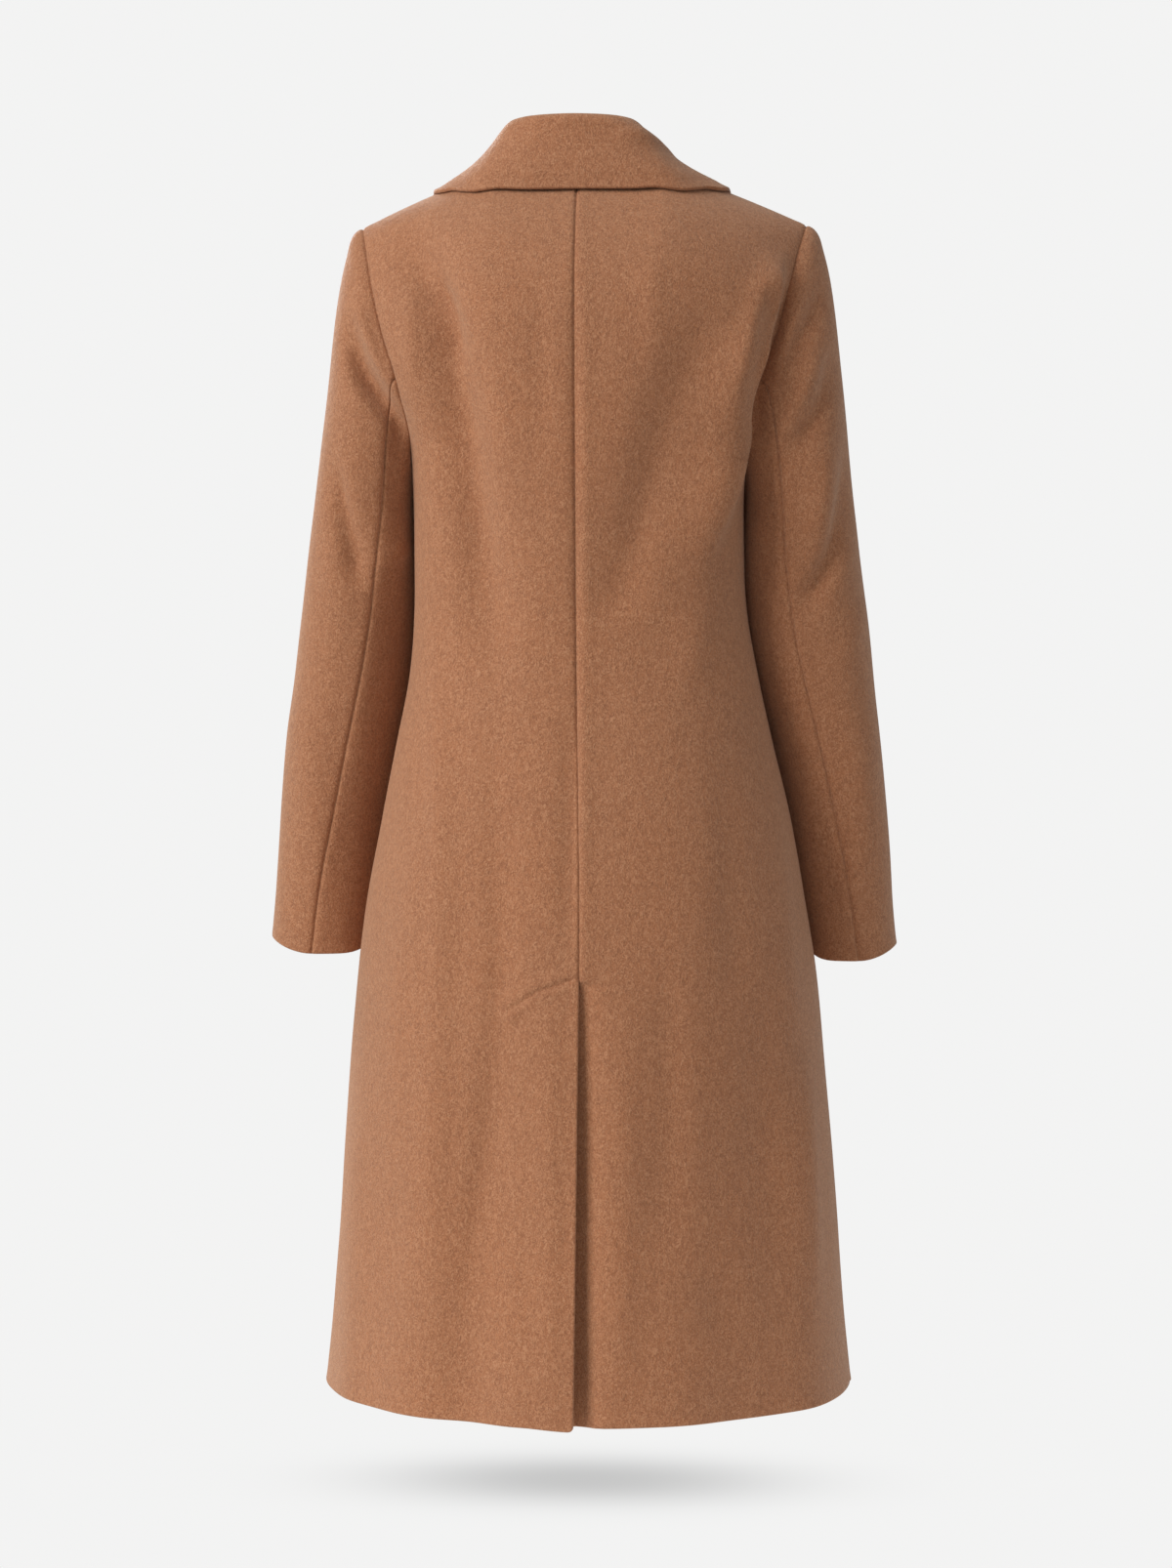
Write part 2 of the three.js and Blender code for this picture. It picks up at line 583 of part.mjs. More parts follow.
// The inner edge of a front at a row, or part of the way to the next one.
function edgeAt(front, row) {
  const [a, b] = [front[Math.floor(row)][0], front[Math.ceil(row)][0]];
  const t = row % 1;
  return { place: a.place.clone().lerp(b.place, t), normal: a.normal.clone().lerp(b.normal, t) };
}

function lapel(side, fronts) {
  const steps = side > 0 ? [3, 3.5, 4, 4.5, 5] : range(BREAK_ROW - GORGE_ROW).map((i) => i + 3);
  const edges = steps.map((step) => edgeAt(fronts, step));
  const reach = side > 0 ? 0.56 : 1;
  const places = edges.map((edge, i) => {
    const t = i / (edges.length - 1);
    const radius = side > 0 ? lerp(ROLL_OUT, 4.5, t) : lerp(ROLL_OUT, CLOTH + 0.3, ramp(t * 1.6 - 0.6));
    const next = edges[Math.min(i + 1, edges.length - 1)].place;
    const before = edges[Math.max(i - 1, 0)].place;
    const inward = next.clone().sub(before).cross(edge.normal).multiplyScalar(-side).normalize();
    const target = lapelOutline(reach * t);
    const flat = range(FLAT_STEPS).slice(1).map((j) => {
      return flatPoint(edge, side, radius, target, j / FLAT_STEPS);
    });
    return [...rollStart(edge, inward, radius), ...flat];
  });
  return leafGrid(places, edges, side);
}

const COLLAR_TIP = { x: 131, z: -63 };
const NOTCH_STEPS = 4; // columns of the collar's end from its roll to the notch

function collarEnd(edge, inward, side) {
  const places = rollStart(edge, inward, ROLL_OUT);
  const notch = {
    x: lerp(side * edge.place.x, LAPEL_TIP.x, NOTCH_SHARE),
    z: lerp(edge.place.z, LAPEL_TIP.z, NOTCH_SHARE),
  };
  for (let j = 1; j <= FLAT_STEPS; j += 1) {
    if (j <= NOTCH_STEPS) {
      const share = (NOTCH_SHARE * j) / NOTCH_STEPS;
      places.push(flatPoint(edge, side, ROLL_OUT, LAPEL_TIP, share));
    } else {
      const t = (j - NOTCH_STEPS) / (FLAT_STEPS - NOTCH_STEPS);
      const [x, z] = ["x", "z"].map((key) => lerp(notch[key], COLLAR_TIP[key], t));
      places.push(frontPoint(x, z, side, OVER_REST).place);
    }
  }
  return places;
}

// A place in plan near the neck, moved out of the body by the thickness of a resting leaf.
function restingPoint(x, y) {
  const z = heightOver(x, y);
  const { place, normal } = bodyPoint(x, z, y >= 0 ? 1 : -1);
  return place.addScaledVector(normal, OVER_REST);
}

function collarSection(edge, side, at) {
  const get = (name) => read(COLLAR, "at", at, name);
  const roll = vec(side * get("rollX"), get("rollY"), get("rollZ"));
  const outward = vec(roll.x, roll.y, 0).normalize();
  roll.x += COLLAR_SWAY * ramp((0.95 - at) / 0.4);
  const base = edge.place.clone().addScaledVector(edge.normal, -CLOTH);
  const standTop = roll.clone().addScaledVector(outward, -4.5).add(vec(0, 0, -7));
  const fallTop = roll.clone().addScaledVector(outward, 5).add(vec(0, 0, -5));
  const hem = restingPoint(side * get("edgeX"), get("edgeY"));
  const middle = fallTop.clone().lerp(hem, 0.5).addScaledVector(outward, -1);
  middle.z = Math.max(middle.z, restingPoint(middle.x, middle.y).z + 2);
  const fall = new THREE.CatmullRomCurve3([fallTop, middle, hem]);
  const flat = range(FLAT_STEPS).slice(1).map((j) => fall.getPoint(j / FLAT_STEPS));
  return [base, base.clone().lerp(standTop, 0.55), standTop, roll, fallTop, ...flat];
}

function collarGrid(backs, fronts) {
  const halves = [1, -1].map((side) => {
    const back = backs[side][0];
    const front = fronts[side];
    const neck = range(NECK_COLS).map((j) => ({ edge: back[j], at: (0.6 * j) / NECK_COLS }));
    const fore = [0.5, 1, 1.5, 2, 2.5, 3].map((row) => {
      return { edge: edgeAt(front, row), at: lerp(0.6, 1, row / GORGE_ROW) };
    });
    return [...neck, ...fore].map(({ edge, at }) => {
      if (at < 1) return { edge, places: collarSection(edge, side, at) };
      const along = front[GORGE_ROW + 1][0].place.clone().sub(edge.place);
      const inward = along.cross(edge.normal).multiplyScalar(-side).normalize();
      return { edge, places: collarEnd(edge, inward, side) };
    });
  });
  const stations = [...halves[0].reverse(), ...halves[1].slice(1)];
  return leafGrid(stations.map((s) => s.places), stations.map((s) => s.edge), -1);
}

// ---- buttons ----
function buttonShape() {
  const shape = new THREE.Shape();
  const circle = (path, x, y, radius, sides) => {
    for (let i = 0; i < sides; i += 1) {
      const angle = (2 * Math.PI * i) / sides;
      const point = [x + radius * Math.cos(angle), y + radius * Math.sin(angle)];
      if (i === 0) path.moveTo(...point);
      else path.lineTo(...point);
    }
    path.closePath();
    return path;
  };
  circle(shape, 0, 0, BUTTON.radius, BUTTON.sides);
  for (const [sx, sy] of [[1, 1], [-1, 1], [-1, -1], [1, -1]]) {
    const at = BUTTON.holeAt * Math.SQRT1_2;
    shape.holes.push(circle(new THREE.Path(), sx * at, sy * at, BUTTON.hole, 6));
  }
  return shape;
}

function button(name, x, z) {
  const { place, normal } = frontPoint(-x, z, -1);
  const shape = new THREE.ExtrudeGeometry(buttonShape(), {
    depth: BUTTON.thick,
    bevelThickness: BUTTON.bevel,
    bevelSize: BUTTON.bevel,
    bevelOffset: -BUTTON.bevel,
    bevelSegments: 1,
  });
  const mesh = new THREE.Mesh(shape, new THREE.MeshStandardMaterial(HORN));
  mesh.name = name;
  mesh.quaternion.setFromUnitVectors(vec(0, 0, 1), normal);
  mesh.position.copy(place).addScaledVector(normal, GAP + BUTTON.bevel);
  return mesh;
}

// ---- the coat ----
const backs = {
  1: levelHem(backGrid(1, lapEdge, lapLayer)),
  [-1]: levelHem(backGrid(-1, underEdge, underLayer)),
};
const fronts = { 1: levelHem(frontGrid(1)), [-1]: levelHem(frontGrid(-1)) };
const copy = (grid) => grid.map((row) => row.map((p) => ({ ...p, place: p.place.clone() })));

const coat = new THREE.Group();
const names = { 1: "left", [-1]: "right" };
const everyRow = [0, UPPER_ROWS + LOWER_ROWS.length];
for (const side of [1, -1]) {
  const back = trim(copy(backs[side]), { top: GAP, start: [0, VENT_ROW], end: everyRow });
  const front = trim(copy(fronts[side]), { top: GAP, start: [0, BREAK_ROW], end: everyRow });
  coat.add(wall(`back_${names[side]}`, back, WOOL), wall(`front_${names[side]}`, front, WOOL));
  const leaf = lapel(side, fronts[side]);
  const leafRows = [0, leaf.length - 1];
  coat.add(wall(`lapel_${names[side]}`, trim(leaf, { top: GORGE_GAP, start: leafRows }), WOOL));
  const tube = sleeveTube(side);
  coat.add(sleevePiece(`top_sleeve_${names[side]}`, tube, FORE_SEAM - RING, HIND_SEAM));
  coat.add(sleevePiece(`under_sleeve_${names[side]}`, tube, HIND_SEAM, FORE_SEAM));
}
const neck = collarGrid(backs, fronts);
trim(neck, { top: GORGE_GAP, foot: GORGE_GAP, start: [0, neck.length - 1] });
coat.add(wall("collar", neck, WOOL));
BUTTON_ROWS.forEach((z, row) => BUTTON_COLUMNS.forEach((x, column) => {
  coat.add(button(`button_${row * BUTTON_COLUMNS.length + column + 1}`, x, z));
}));

export default coat;
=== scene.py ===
"""A long double-breasted coat of thick napped camel wool, filled out as if worn, with no wearer.

Lengths are in millimetres until a mesh is made. +Z is up, the fronts face -Y and the wearer's
left is +X. The origin is level with the side neck points. The forms repeat those of the part's
own solids, at a finer step, and carry the small folds, seams and edges of the real cloth.
"""
import math

import bpy
import numpy as np
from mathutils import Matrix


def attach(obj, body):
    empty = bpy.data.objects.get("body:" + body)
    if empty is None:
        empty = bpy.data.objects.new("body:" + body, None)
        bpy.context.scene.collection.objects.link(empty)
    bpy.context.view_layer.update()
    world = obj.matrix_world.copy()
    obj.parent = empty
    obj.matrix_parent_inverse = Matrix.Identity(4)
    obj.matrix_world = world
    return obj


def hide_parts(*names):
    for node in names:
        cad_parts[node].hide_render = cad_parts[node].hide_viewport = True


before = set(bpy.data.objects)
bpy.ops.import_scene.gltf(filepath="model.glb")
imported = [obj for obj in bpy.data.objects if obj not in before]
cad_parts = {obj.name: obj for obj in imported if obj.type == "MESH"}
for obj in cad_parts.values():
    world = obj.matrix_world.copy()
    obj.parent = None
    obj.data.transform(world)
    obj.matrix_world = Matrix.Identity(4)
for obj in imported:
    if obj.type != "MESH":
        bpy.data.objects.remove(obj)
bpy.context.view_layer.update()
MM = 0.001

# ---- camera: straight at the back, a little to the side, level with the middle of the coat ----
VIEW = {"turn": 2.5, "away": 2800.0, "height": -545.0, "slide": 1.3, "lens": 72.1}


def add_object(name, data):
    added = bpy.data.objects.new(name, data)
    bpy.context.scene.collection.objects.link(added)
    return added


def make_camera():
    turn = math.radians(VIEW["turn"])
    camera = add_object("camera", bpy.data.cameras.new("camera"))
    camera.data.lens = VIEW["lens"]
    camera.data.sensor_width = 36.0
    side = -VIEW["away"] * math.sin(turn) - VIEW["slide"] * math.cos(turn)
    back = VIEW["away"] * math.cos(turn) - VIEW["slide"] * math.sin(turn)
    camera.location = (side * MM, back * MM, VIEW["height"] * MM)
    camera.rotation_euler = (math.pi / 2, 0.0, math.pi + turn)
    camera.data.clip_end = 50.0
    bpy.context.scene.camera = camera


make_camera()

# ---- driving sizes. They are the part's own, but for three that are closer to the real coat here:
# the shoulder's bow, the left hind seam in SLEEVE and the collar's free edge ----
CLOTH = 3.0  # thickness of the wool cloth
NECK_X = 74.0
TIP_X = 197.5  # the shoulder point
TIP_Z = -49.0
SHOULDER_BOW = 1.17  # how much the line from the neck to the shoulder point bows
UNDERARM_Z = -265.0
VENT_TOP_Z = -709.0
HEM_Z = -1080.0
# How far the middle of the coat leans to the left at the chest, and the whole of it at the hem.
LEAN = {"chest": 4.4, "chest_z": -370.0, "hip_z": -680.0, "hem": -3.5}
HEM_RISE = {"by": 6.0, "from": -1000.0}
NECK_DEPTH = 48.0
# By face, where 1 is the back and -1 a front: how far below the shoulder line the cloth reaches its
# full depth, and how square the curve to there is.
YOKE = {1: 150.0, -1: 250.0}
ROUND = {1: 1.9, -1: 1.6}
WRAP = 85.0
BREAK_Z = -320.0
UNDER_LAYER = CLOTH + 2
ROLL_LIFT = 6.0
ROLL_OUT = 6.0
VENT = {"lap_hem_x": 4.0, "under_x": -42.0, "recess": 12.0, "recess_from": 20.0, "lift": 3.0, "sink": 6.0}
BUTTON_COLUMNS = (-57.0, 57.0)
BUTTON_ROWS = (-334.0, -444.0, -554.0)
SIDES = {1: "left", -1: "right"}


def table(names, rows):
    """A table with named columns, the first of which is the one it is read by."""
    return dict(zip(names.split(), np.array(rows, float).T))


BODY = table("z left right back front back_square front_square", [
    (20, 212, 211, 104, 122, 2.4, 2.15),
    (-54, 206, 204, 109, 134, 2.4, 2.15),
    (-110, 198, 194, 113, 143, 2.4, 2.15),
    (-150, 190, 185, 114, 149, 2.4, 2.15),
    (-200, 175, 167, 114, 154, 2.4, 2.15),
    (-240, 158, 148, 112, 155, 2.4, 2.15),
    (-265, 154, 142, 110, 154, 2.4, 2.15),
    (-330, 152, 141, 105, 149, 2.4, 2.15),
    (-390, 152, 143, 103, 146, 2.38, 2.15),
    (-450, 157, 153, 108, 147, 2.32, 2.13),
    (-510, 169, 166, 122, 150, 2.26, 2.11),
    (-570, 181, 180, 137, 153, 2.2, 2.09),
    (-640, 195, 192, 151, 156, 2.14, 2.07),
    (-709, 204, 203, 162, 158, 2.1, 2.05),
    (-800, 211, 211, 172, 162, 2.06, 2.03),
    (-900, 218, 219, 181, 166, 2.03, 2),
    (-1000, 225, 226, 191, 169, 2.01, 2),
    (-1080, 231, 233, 197, 172, 2, 2),
])
ARMHOLE = table("z back front right", [
    (-49, 197.5, 197.5, 0),
    (-75, 192, 189, 2),
    (-110, 185, 178, 4),
    (-150, 175, 167, 4),
    (-178, 166, 159, 6),
    (-205, 159, 155, 9),
    (-235, 153.5, 152.5, 11.5),
    (-265, 154, 154, 12),
])
FRONT_EDGE = table("z x", [(0, 74), (-12, 68.5), (-32, 59), (-60, 45), (BREAK_Z, -WRAP)])
SLEEVE = table("z out_left out_right in_left in_right mid depth seam_left seam_right", [
    (-300, 244, 241, 151.5, 141.2, -25, 68, 114, 106),
    (-345, 251, 246, 150.6, 140.2, -31, 66, 108, 104),
    (-400, 258.5, 253, 150.5, 143.6, -37, 63, 103, 102),
    (-450, 264.5, 258.5, 155, 151.5, -42, 60, 99, 99),
    (-500, 272, 264.5, 162.8, 163, -45, 57, 96, 96),
    (-550, 276.5, 269, 172, 173.8, -48, 54, 93, 93),
    (-600, 280, 273, 181.2, 183.3, -50, 51, 90, 90),
    (-650, 283, 276, 189, 191.1, -52, 49, 87, 87),
    (-696, 286, 280, 194.2, 198.5, -54, 48, 85, 85),
])
CUFF = {"from": -640.0, "to": -696.0, "rise": 14.0, "drop": {1: 1.5, -1: 7.0}, "corner": 12.0}
COLLAR = table("at roll_x roll_y roll_z edge_x edge_y", [
    (0, 0, 53, 42, 0, 61),
    (0.2, 29, 50, 41.5, 48, 60),
    (0.4, 53, 37, 39.5, 90, 52),
    (0.6, 64, 10, 32, 113, 32),
    (0.73, 64, -5, 24, 127, 18),
    (0.87, 60, -35, 0, 132, -14),
    (1, 46, -78, -48, 135, -42),
])
COLLAR_SWAY = 9.0
SIDE_NECK_AT = 0.6  # how far round the collar the shoulder seam is
# The broad folds: face, top x and z, bottom x and z, width and height out of the surface.
FOLDS = [
    (1, 150, -200, 82, -560, 22, -1.5),
    (1, 48, -130, 46, -420, 20, -1),
    (1, -92, -140, -28, -420, 20, -4),
    (1, -142, -180, -92, -480, 18, 3),
    (1, 140, -420, 150, -1150, 24, 5),
    (1, 62, -720, 100, -1180, 26, -6),
    (1, -118, -620, -128, -1180, 26, -2.4),
    (1, -186, -760, -196, -1180, 20, 5),
    (1, 196, -760, 204, -1180, 18, 4),
    (-1, 142, -480, 150, -1180, 30, 6),
    (-1, -140, -500, -158, -1180, 30, 6),
    (-1, 96, -620, 100, -1180, 24, -5),
    (-1, -98, -660, -100, -1180, 24, -5),
]
# The small folds that are the scene's own. A row has the width on the right and on the left of its
# line, its height, which is negative for a trough, and the x and z of the line's points. Right and
# left are those of someone who goes along the line with x to the right and z up.
CREASES = {}
CREASES["back"] = [
    (25, 22, -21, 159, -62, 148, -88, 136, -114, 120, -150, 112, -200, 105, -250, 95, -315, 86, -380,
     77, -440),
    (9, 12, -6.5, 130, -108, 115, -137, 108, -180),
    (7, 7, 2.2, 157, -100, 150, -150, 146, -205),
    (10, 12, -1.4, 34, -110, 33, -180, 32, -260),
    (6, 5, 0.9, -7, -90, -7, -300, -7, -690),
    (22, 15, -3, -112, -120, -104, -165, -92, -205, -75, -250, -62, -295, -50, -345, -42, -385),
    (9, 15, 13, -174, -86, -164, -125, -153, -160, -142, -200),
    (9, 25, 17.5, -153, -160, -141, -205, -132, -245, -124, -290, -106, -350),
    (12, 12, 1.8, -60, -85, -64, -140, -66, -195),
    (4, 9, -1.8, 2, -100, 2, -300, 3, -480),
    (4, 12, -3.2, 3, -470, 4, -560, 4, -700),
    (12, 11, 3.2, 130, -430, 122, -520, 118, -620, 118, -720, 119, -800, 124, -900, 126, -1070),
    (10, 12, -2, 146, -690, 148, -800, 154, -900, 158, -1010),
    (18, 13, -3.6, 72, -430, 72, -600, 62, -700, 70, -800, 80, -870, 88, -930, 96, -1000, 98, -1070),
    (10, 14, 2, 24, -735, 22, -850, 20, -1070),
    (8, 8, 1.5, 62, -733, 50, -743),
    (9, 9, -1.6, 70, -696, 62, -722),
    (13, 16, 3.6, -38, -725, -40, -850, -40, -950, -38, -1070),
    (13, 13, -3, -76, -695, -79, -800, -77, -940),
    (14, 13, -2.2, -126, -520, -130, -640, -136, -730),
    (16, 22, -4, -158, -715, -158, -800, -164, -900, -166, -1010),
    (8, 12, 2.2, -166, -530, -176, -640, -184, -750),
    (7, 10, 3.4, -195, -780, -199, -880, -203, -990),
    (18, 14, -2.6, -120, -955, -121, -1015),
    (9, 12, -0.6, 128, -390, 90, -412, 52, -420),
    (9, 12, -0.6, -120, -372, -84, -402, -46, -412),
]
CREASES["front"] = [
    (12, 16, -2.4, 150, -150, 118, -235, 96, -330),
    (12, 16, -2.4, -150, -150, -120, -235, -98, -330),
    (9, 12, -1.2, 134, -396, 104, -412, 74, -416),
    (9, 12, -1.2, -134, -392, -104, -410, -76, -416),
    (10, 10, 1, 136, -424, 112, -440, 80, -452),
    (13, 16, 2.4, 146, -470, 150, -700, 152, -1070),
    (13, 16, 2.4, -148, -480, -156, -720, -158, -1070),
    (16, 18, -2.2, 98, -640, 104, -850, 102, -1070),
    (16, 18, -2.2, -96, -660, -104, -850, -102, -1070),
    (18, 18, 1.2, 34, -620, 38, -840, 34, -1070),
    (18, 18, 1.2, -42, -600, -40, -840, -46, -1070),
]
CREASES["sleeve_left_back"] = [
    (6, 9, -4.6, 203, -138, 193, -174, 179, -198, 165, -218),
    (7, 8, 4, 202, -116, 187, -155, 171, -190),
    (9, 9, -9, 222, -258, 216, -293, 210, -317, 202, -344, 197, -368),
    (7, 8, -2, 170, -238, 168, -270, 167, -304),
    (8, 9, 3, 156, -330, 168, -344, 184, -354),
    (9, 9, 1.6, 228, -340, 220, -372, 206, -396),
    (12, 14, 1.5, 262, -470, 246, -540, 238, -640),
    (12, 14, -1.5, 214, -470, 216, -560, 222, -660),
]
CREASES["sleeve_right_back"] = [
    (8, 8, -6.5, -212, -108, -203, -136, -192, -157, -179, -176),
    (8, 8, 4, -208, -166, -195, -199, -183, -223, -171, -246),
    (9, 8, -6.5, -221, -162, -217, -192, -209, -215, -199, -235, -186, -255),
    (8, 8, 2, -215, -250, -213, -290, -205, -322),
    (10, 9, -9.5, -236, -248, -234, -290, -228, -320, -219, -349, -203, -376, -187, -391),
    (9, 9, 1.6, -246, -380, -240, -410, -232, -440),
    (12, 14, 1.5, -258, -480, -246, -560, -240, -650),
    (12, 14, -1.5, -212, -480, -216, -570, -224, -670),
]
CREASES["sleeve_left_front"] = [
    (9, 11, -2.6, 186, -196, 204, -232, 226, -250),
    (8, 11, -2.8, 172, -290, 192, -330, 226, -352),
    (9, 9, 2, 170, -326, 190, -362, 228, -380),
    (9, 11, -2.2, 176, -372, 200, -400, 240, -414),
    (13, 15, 1.4, 236, -450, 250, -540, 252, -650),
]
CREASES["sleeve_right_front"] = [
    (9, 11, -2.6, -184, -190, -202, -226, -224, -246),
    (8, 11, -2.8, -168, -294, -188, -334, -222, -354),
    (9, 9, 2, -166, -332, -186, -366, -224, -384),
    (9, 11, -2.2, -172, -380, -196, -404, -236, -418),
    (13, 15, 1.4, -232, -450, -246, -540, -250, -650),
]
# hollows that run across the seams between the pieces, seen from behind
CREASES["armholes"] = [
    (12, 8, -15, -173, -112, -167, -130, -161, -160, -155, -190, -151, -215, -148, -250),
    (9, 11, -13, 206, -150, 190, -188, 174, -208, 162, -224, 157, -262),
]
CREASES["inner_arms"] = [
    (20, 28, -15, 158, -352, 152, -380, 153, -420, 158, -465, 166, -510, 175, -560, 184, -610, 194, -690),
    (18, 16, -4, -146, -420, -158, -490, -172, -550, -188, -640, -196, -700),
]


# ---- small tools ----
def lerp(a, b, t):
    return a + (b - a) * t


def smooth(t):
    t = np.clip(t, 0.0, 1.0)
    return t * t * (3 - 2 * t)


def power(t, n):
    return np.sign(t) * np.abs(t) ** n


def bell(away, wide):
    return np.exp(-((away / wide) ** 2))


def unit(v):
    return v / np.maximum(np.linalg.norm(v, axis=-1, keepdims=True), 1e-9)


def point(x, y, z):
    return np.stack(np.broadcast_arrays(x, y, z), axis=-1).astype(float)


def alike(a, b):
    """Two numbers or grids of numbers, brought to one shape."""
    return np.broadcast_arrays(np.asarray(a, float), np.asarray(b, float))


def cubic(start, end, start_slope, end_slope, span, t):
    """Between two values, t of the way along a span, with the slopes of both ends."""
    rest = 1 - t
    ends = start * (1 + 2 * t) * rest ** 2 + end * t ** 2 * (3 - 2 * t)
    return ends + span * t * rest * (start_slope * rest - end_slope * t)


def read(columns, at, name):
    """A named column of a table, read smoothly between its rows."""
    keys = next(iter(columns.values()))
    values = columns[name]
    last = len(keys) - 1
    before = np.clip(np.arange(last + 1) - 1, 0, last)
    after = np.clip(np.arange(last + 1) + 1, 0, last)
    slopes = (values[after] - values[before]) / (keys[after] - keys[before])
    way = np.sign(keys[-1] - keys[0])
    at = np.asarray(at, float)
    i = np.clip(np.searchsorted(keys * way, at * way, side="left") - 1, 0, last - 1)
    span = keys[i + 1] - keys[i]
    t = np.clip((at - keys[i]) / span, 0.0, 1.0)
    return cubic(values[i], values[i + 1], slopes[i], slopes[i + 1], span, t)


# ---- the body's surface, an explicit form over the front view for each face ----
def shoulder_z(x):
    past = np.maximum(np.abs(x) - NECK_X, 0.0) / (TIP_X - NECK_X)
    return TIP_Z * past ** SHOULDER_BOW


def half_width(x, z):
    return np.where(np.asarray(x) < 0, read(BODY, z, "right"), read(BODY, z, "left"))


def face_name(face):
    return "back" if face > 0 else "front"


def square(z, face):
    return read(BODY, z, face_name(face) + "_square")


def yoke_share(below, face):
    part = np.clip(below / YOKE[face], 0.0, 1.0)
    return (1 - (1 - part) ** ROUND[face]) ** (1 / ROUND[face])


def below_for_share(share, face):
    return YOKE[face] * (1 - (1 - share ** ROUND[face]) ** (1 / ROUND[face]))


def plan_share(x, z, face):
    n = square(z, face)
    return np.maximum(1 - np.abs(x / half_width(x, z)) ** n, 0.0) ** (1 / n)


def full_depth(x, z, face):
    return read(BODY, z, face_name(face)) * yoke_share(shoulder_z(x) - z, face)


def body_normal(x, z, face):
    y = full_depth(x, z, face) * plan_share(x, z, face)

    def form(px, py, pz):
        n = square(pz, face)
        depth = np.maximum(full_depth(px, pz, face), 1e-3)
        return np.abs(px / half_width(px, pz)) ** n + np.abs(py / depth) ** n

    step = 0.25
    normal = point(
        form(x + step, y, z) - form(x - step, y, z),
        face * (form(x, y + step, z) - form(x, y - step, z)),
        form(x, y, z + step) - form(x, y, z - step),
    )
    top = point(-np.sign(x) * TIP_Z, 0.0, TIP_X - NECK_X)
    return unit(np.where((shoulder_z(x) - z < 0.5)[..., None], unit(top), unit(normal)))


def broad_folds(x, z, face):
    total = np.zeros(np.shape(x))
    for side, x0, z0, x1, z1, wide, height in FOLDS:
        if side != face:
            continue
        t = (z - z0) / (z1 - z0)
        ends = smooth(t / 0.35) * smooth((1 - t) / 0.15)
        total += height * ends * bell(x - lerp(x0, x1, t), wide)
    return total * smooth(plan_share(x, z, face) / 0.3)


def lean_at(x, z):
    middle = 1 - np.minimum((x / half_width(x, z)) ** 2, 1.0)
    chest = smooth((z - LEAN["hip_z"]) / (LEAN["chest_z"] - LEAN["hip_z"]))
    return LEAN["chest"] * middle * chest + LEAN["hem"] * smooth(z / HEM_Z)


def body_point(x, z, face, layer=0.0):
    """Places and normals of the body's cloth. layer moves them out of the smooth surface."""
    x, z = alike(x, z)
    normal = body_normal(x, z, face)
    level = unit(normal * (1, 1, 0))
    place = point(x, face * full_depth(x, z, face) * plan_share(x, z, face), z)
    place = place + level * broad_folds(x, z, face)[..., None]
    place = place + normal * np.broadcast_to(layer, x.shape)[..., None]
    place[..., 0] += lean_at(x, z)
    low = smooth((HEM_RISE["from"] - z) / (HEM_RISE["from"] - HEM_Z))
    place[..., 2] += HEM_RISE["by"] * np.abs(x / half_width(x, z)) ** 3 * low
    return place, normal


def height_over(x, y):
    """The height of the body over places in plan, near the neck and shoulders."""
    high = np.empty(np.shape(x))
    for face in (1, -1):
        z = shoulder_z(x)
        for _ in range(4):
            depth = read(BODY, z, face_name(face)) * plan_share(x, z, face)
            z = shoulder_z(x) - below_for_share(np.minimum(np.abs(y) / depth, 0.99), face)
        high = np.where((y >= 0) == (face > 0), z, high)
    return high


# ---- rows and columns of the panels ----
STEP = 4.2  # between the points of a piece of cloth
EDGE_STEPS = (0.0, 0.25, 0.6, 1.1, 1.8, 2.8, 4.2, 6.2)  # next to an edge
UPPER_ROWS = 10
NECK_COLS = 6
PANEL_COLS = 14


def steps(length, dense=()):
    """Distances from 0 to length, close together at both ends and, by a third number, within
    each dense stretch."""
    near = np.array(EDGE_STEPS)
    inner = np.linspace(8.0, length - 8.0, max(int((length - 16.0) / STEP), 2))
    parts = [near, inner, length - near]
    parts += [np.arange(a, b, gap) for a, b, gap in dense]
    found = np.unique(np.concatenate(parts).round(3))
    keep = [found[0]]
    for value in found[1:]:
        if value - keep[-1] > 0.2:
            keep.append(value)
    keep[-1] = length
    return np.array(keep)


def drop(row):
    return (1 - np.cos(np.pi * row / UPPER_ROWS)) / 2


def row_at(height):
    """The upper row that lies at a height along the armhole."""
    share = np.clip((height - TIP_Z) / (UNDERARM_Z - TIP_Z), 0, 1)
    return np.arccos(1 - 2 * share) * UPPER_ROWS / np.pi


def armhole_z(row):
    return lerp(TIP_Z, UNDERARM_Z, drop(row))


def armhole_x(row, side, face):
    out = read(ARMHOLE, armhole_z(row), face_name(face))
    return out if side > 0 else out - read(ARMHOLE, armhole_z(row), "right")


def plan_spread(start, end, half, n, share):
    def angle(x):
        return np.arcsin(np.clip(power(x / half, n / 2), -1, 1))

    return half * power(np.sin(lerp(angle(start), angle(end), share)), 2 / n)


def back_neckline(x):
    round_y = NECK_DEPTH * np.sqrt(np.maximum(1 - (x / NECK_X) ** 2, 0.0))
    return -below_for_share(round_y / BODY["back"][0], 1)


# The oval of the armhole's seam, and how far from it normals turn to its own.
SEAM_OVAL = {"foot_x": 150.0, "high": 108.0, "deep": 60.0, "reach": 12.0}


def armhole_normal(place, side):
    tip = np.array((side * TIP_X, 0.0, TIP_Z))
    foot = np.array((side * SEAM_OVAL["foot_x"], 0.0, UNDERARM_Z))
    up = unit(tip - foot)
    away = place - (tip + foot) / 2
    normal = up * (away @ up)[..., None] / SEAM_OVAL["high"] ** 2
    normal[..., 1] = away[..., 1] / SEAM_OVAL["deep"] ** 2
    return unit(normal)


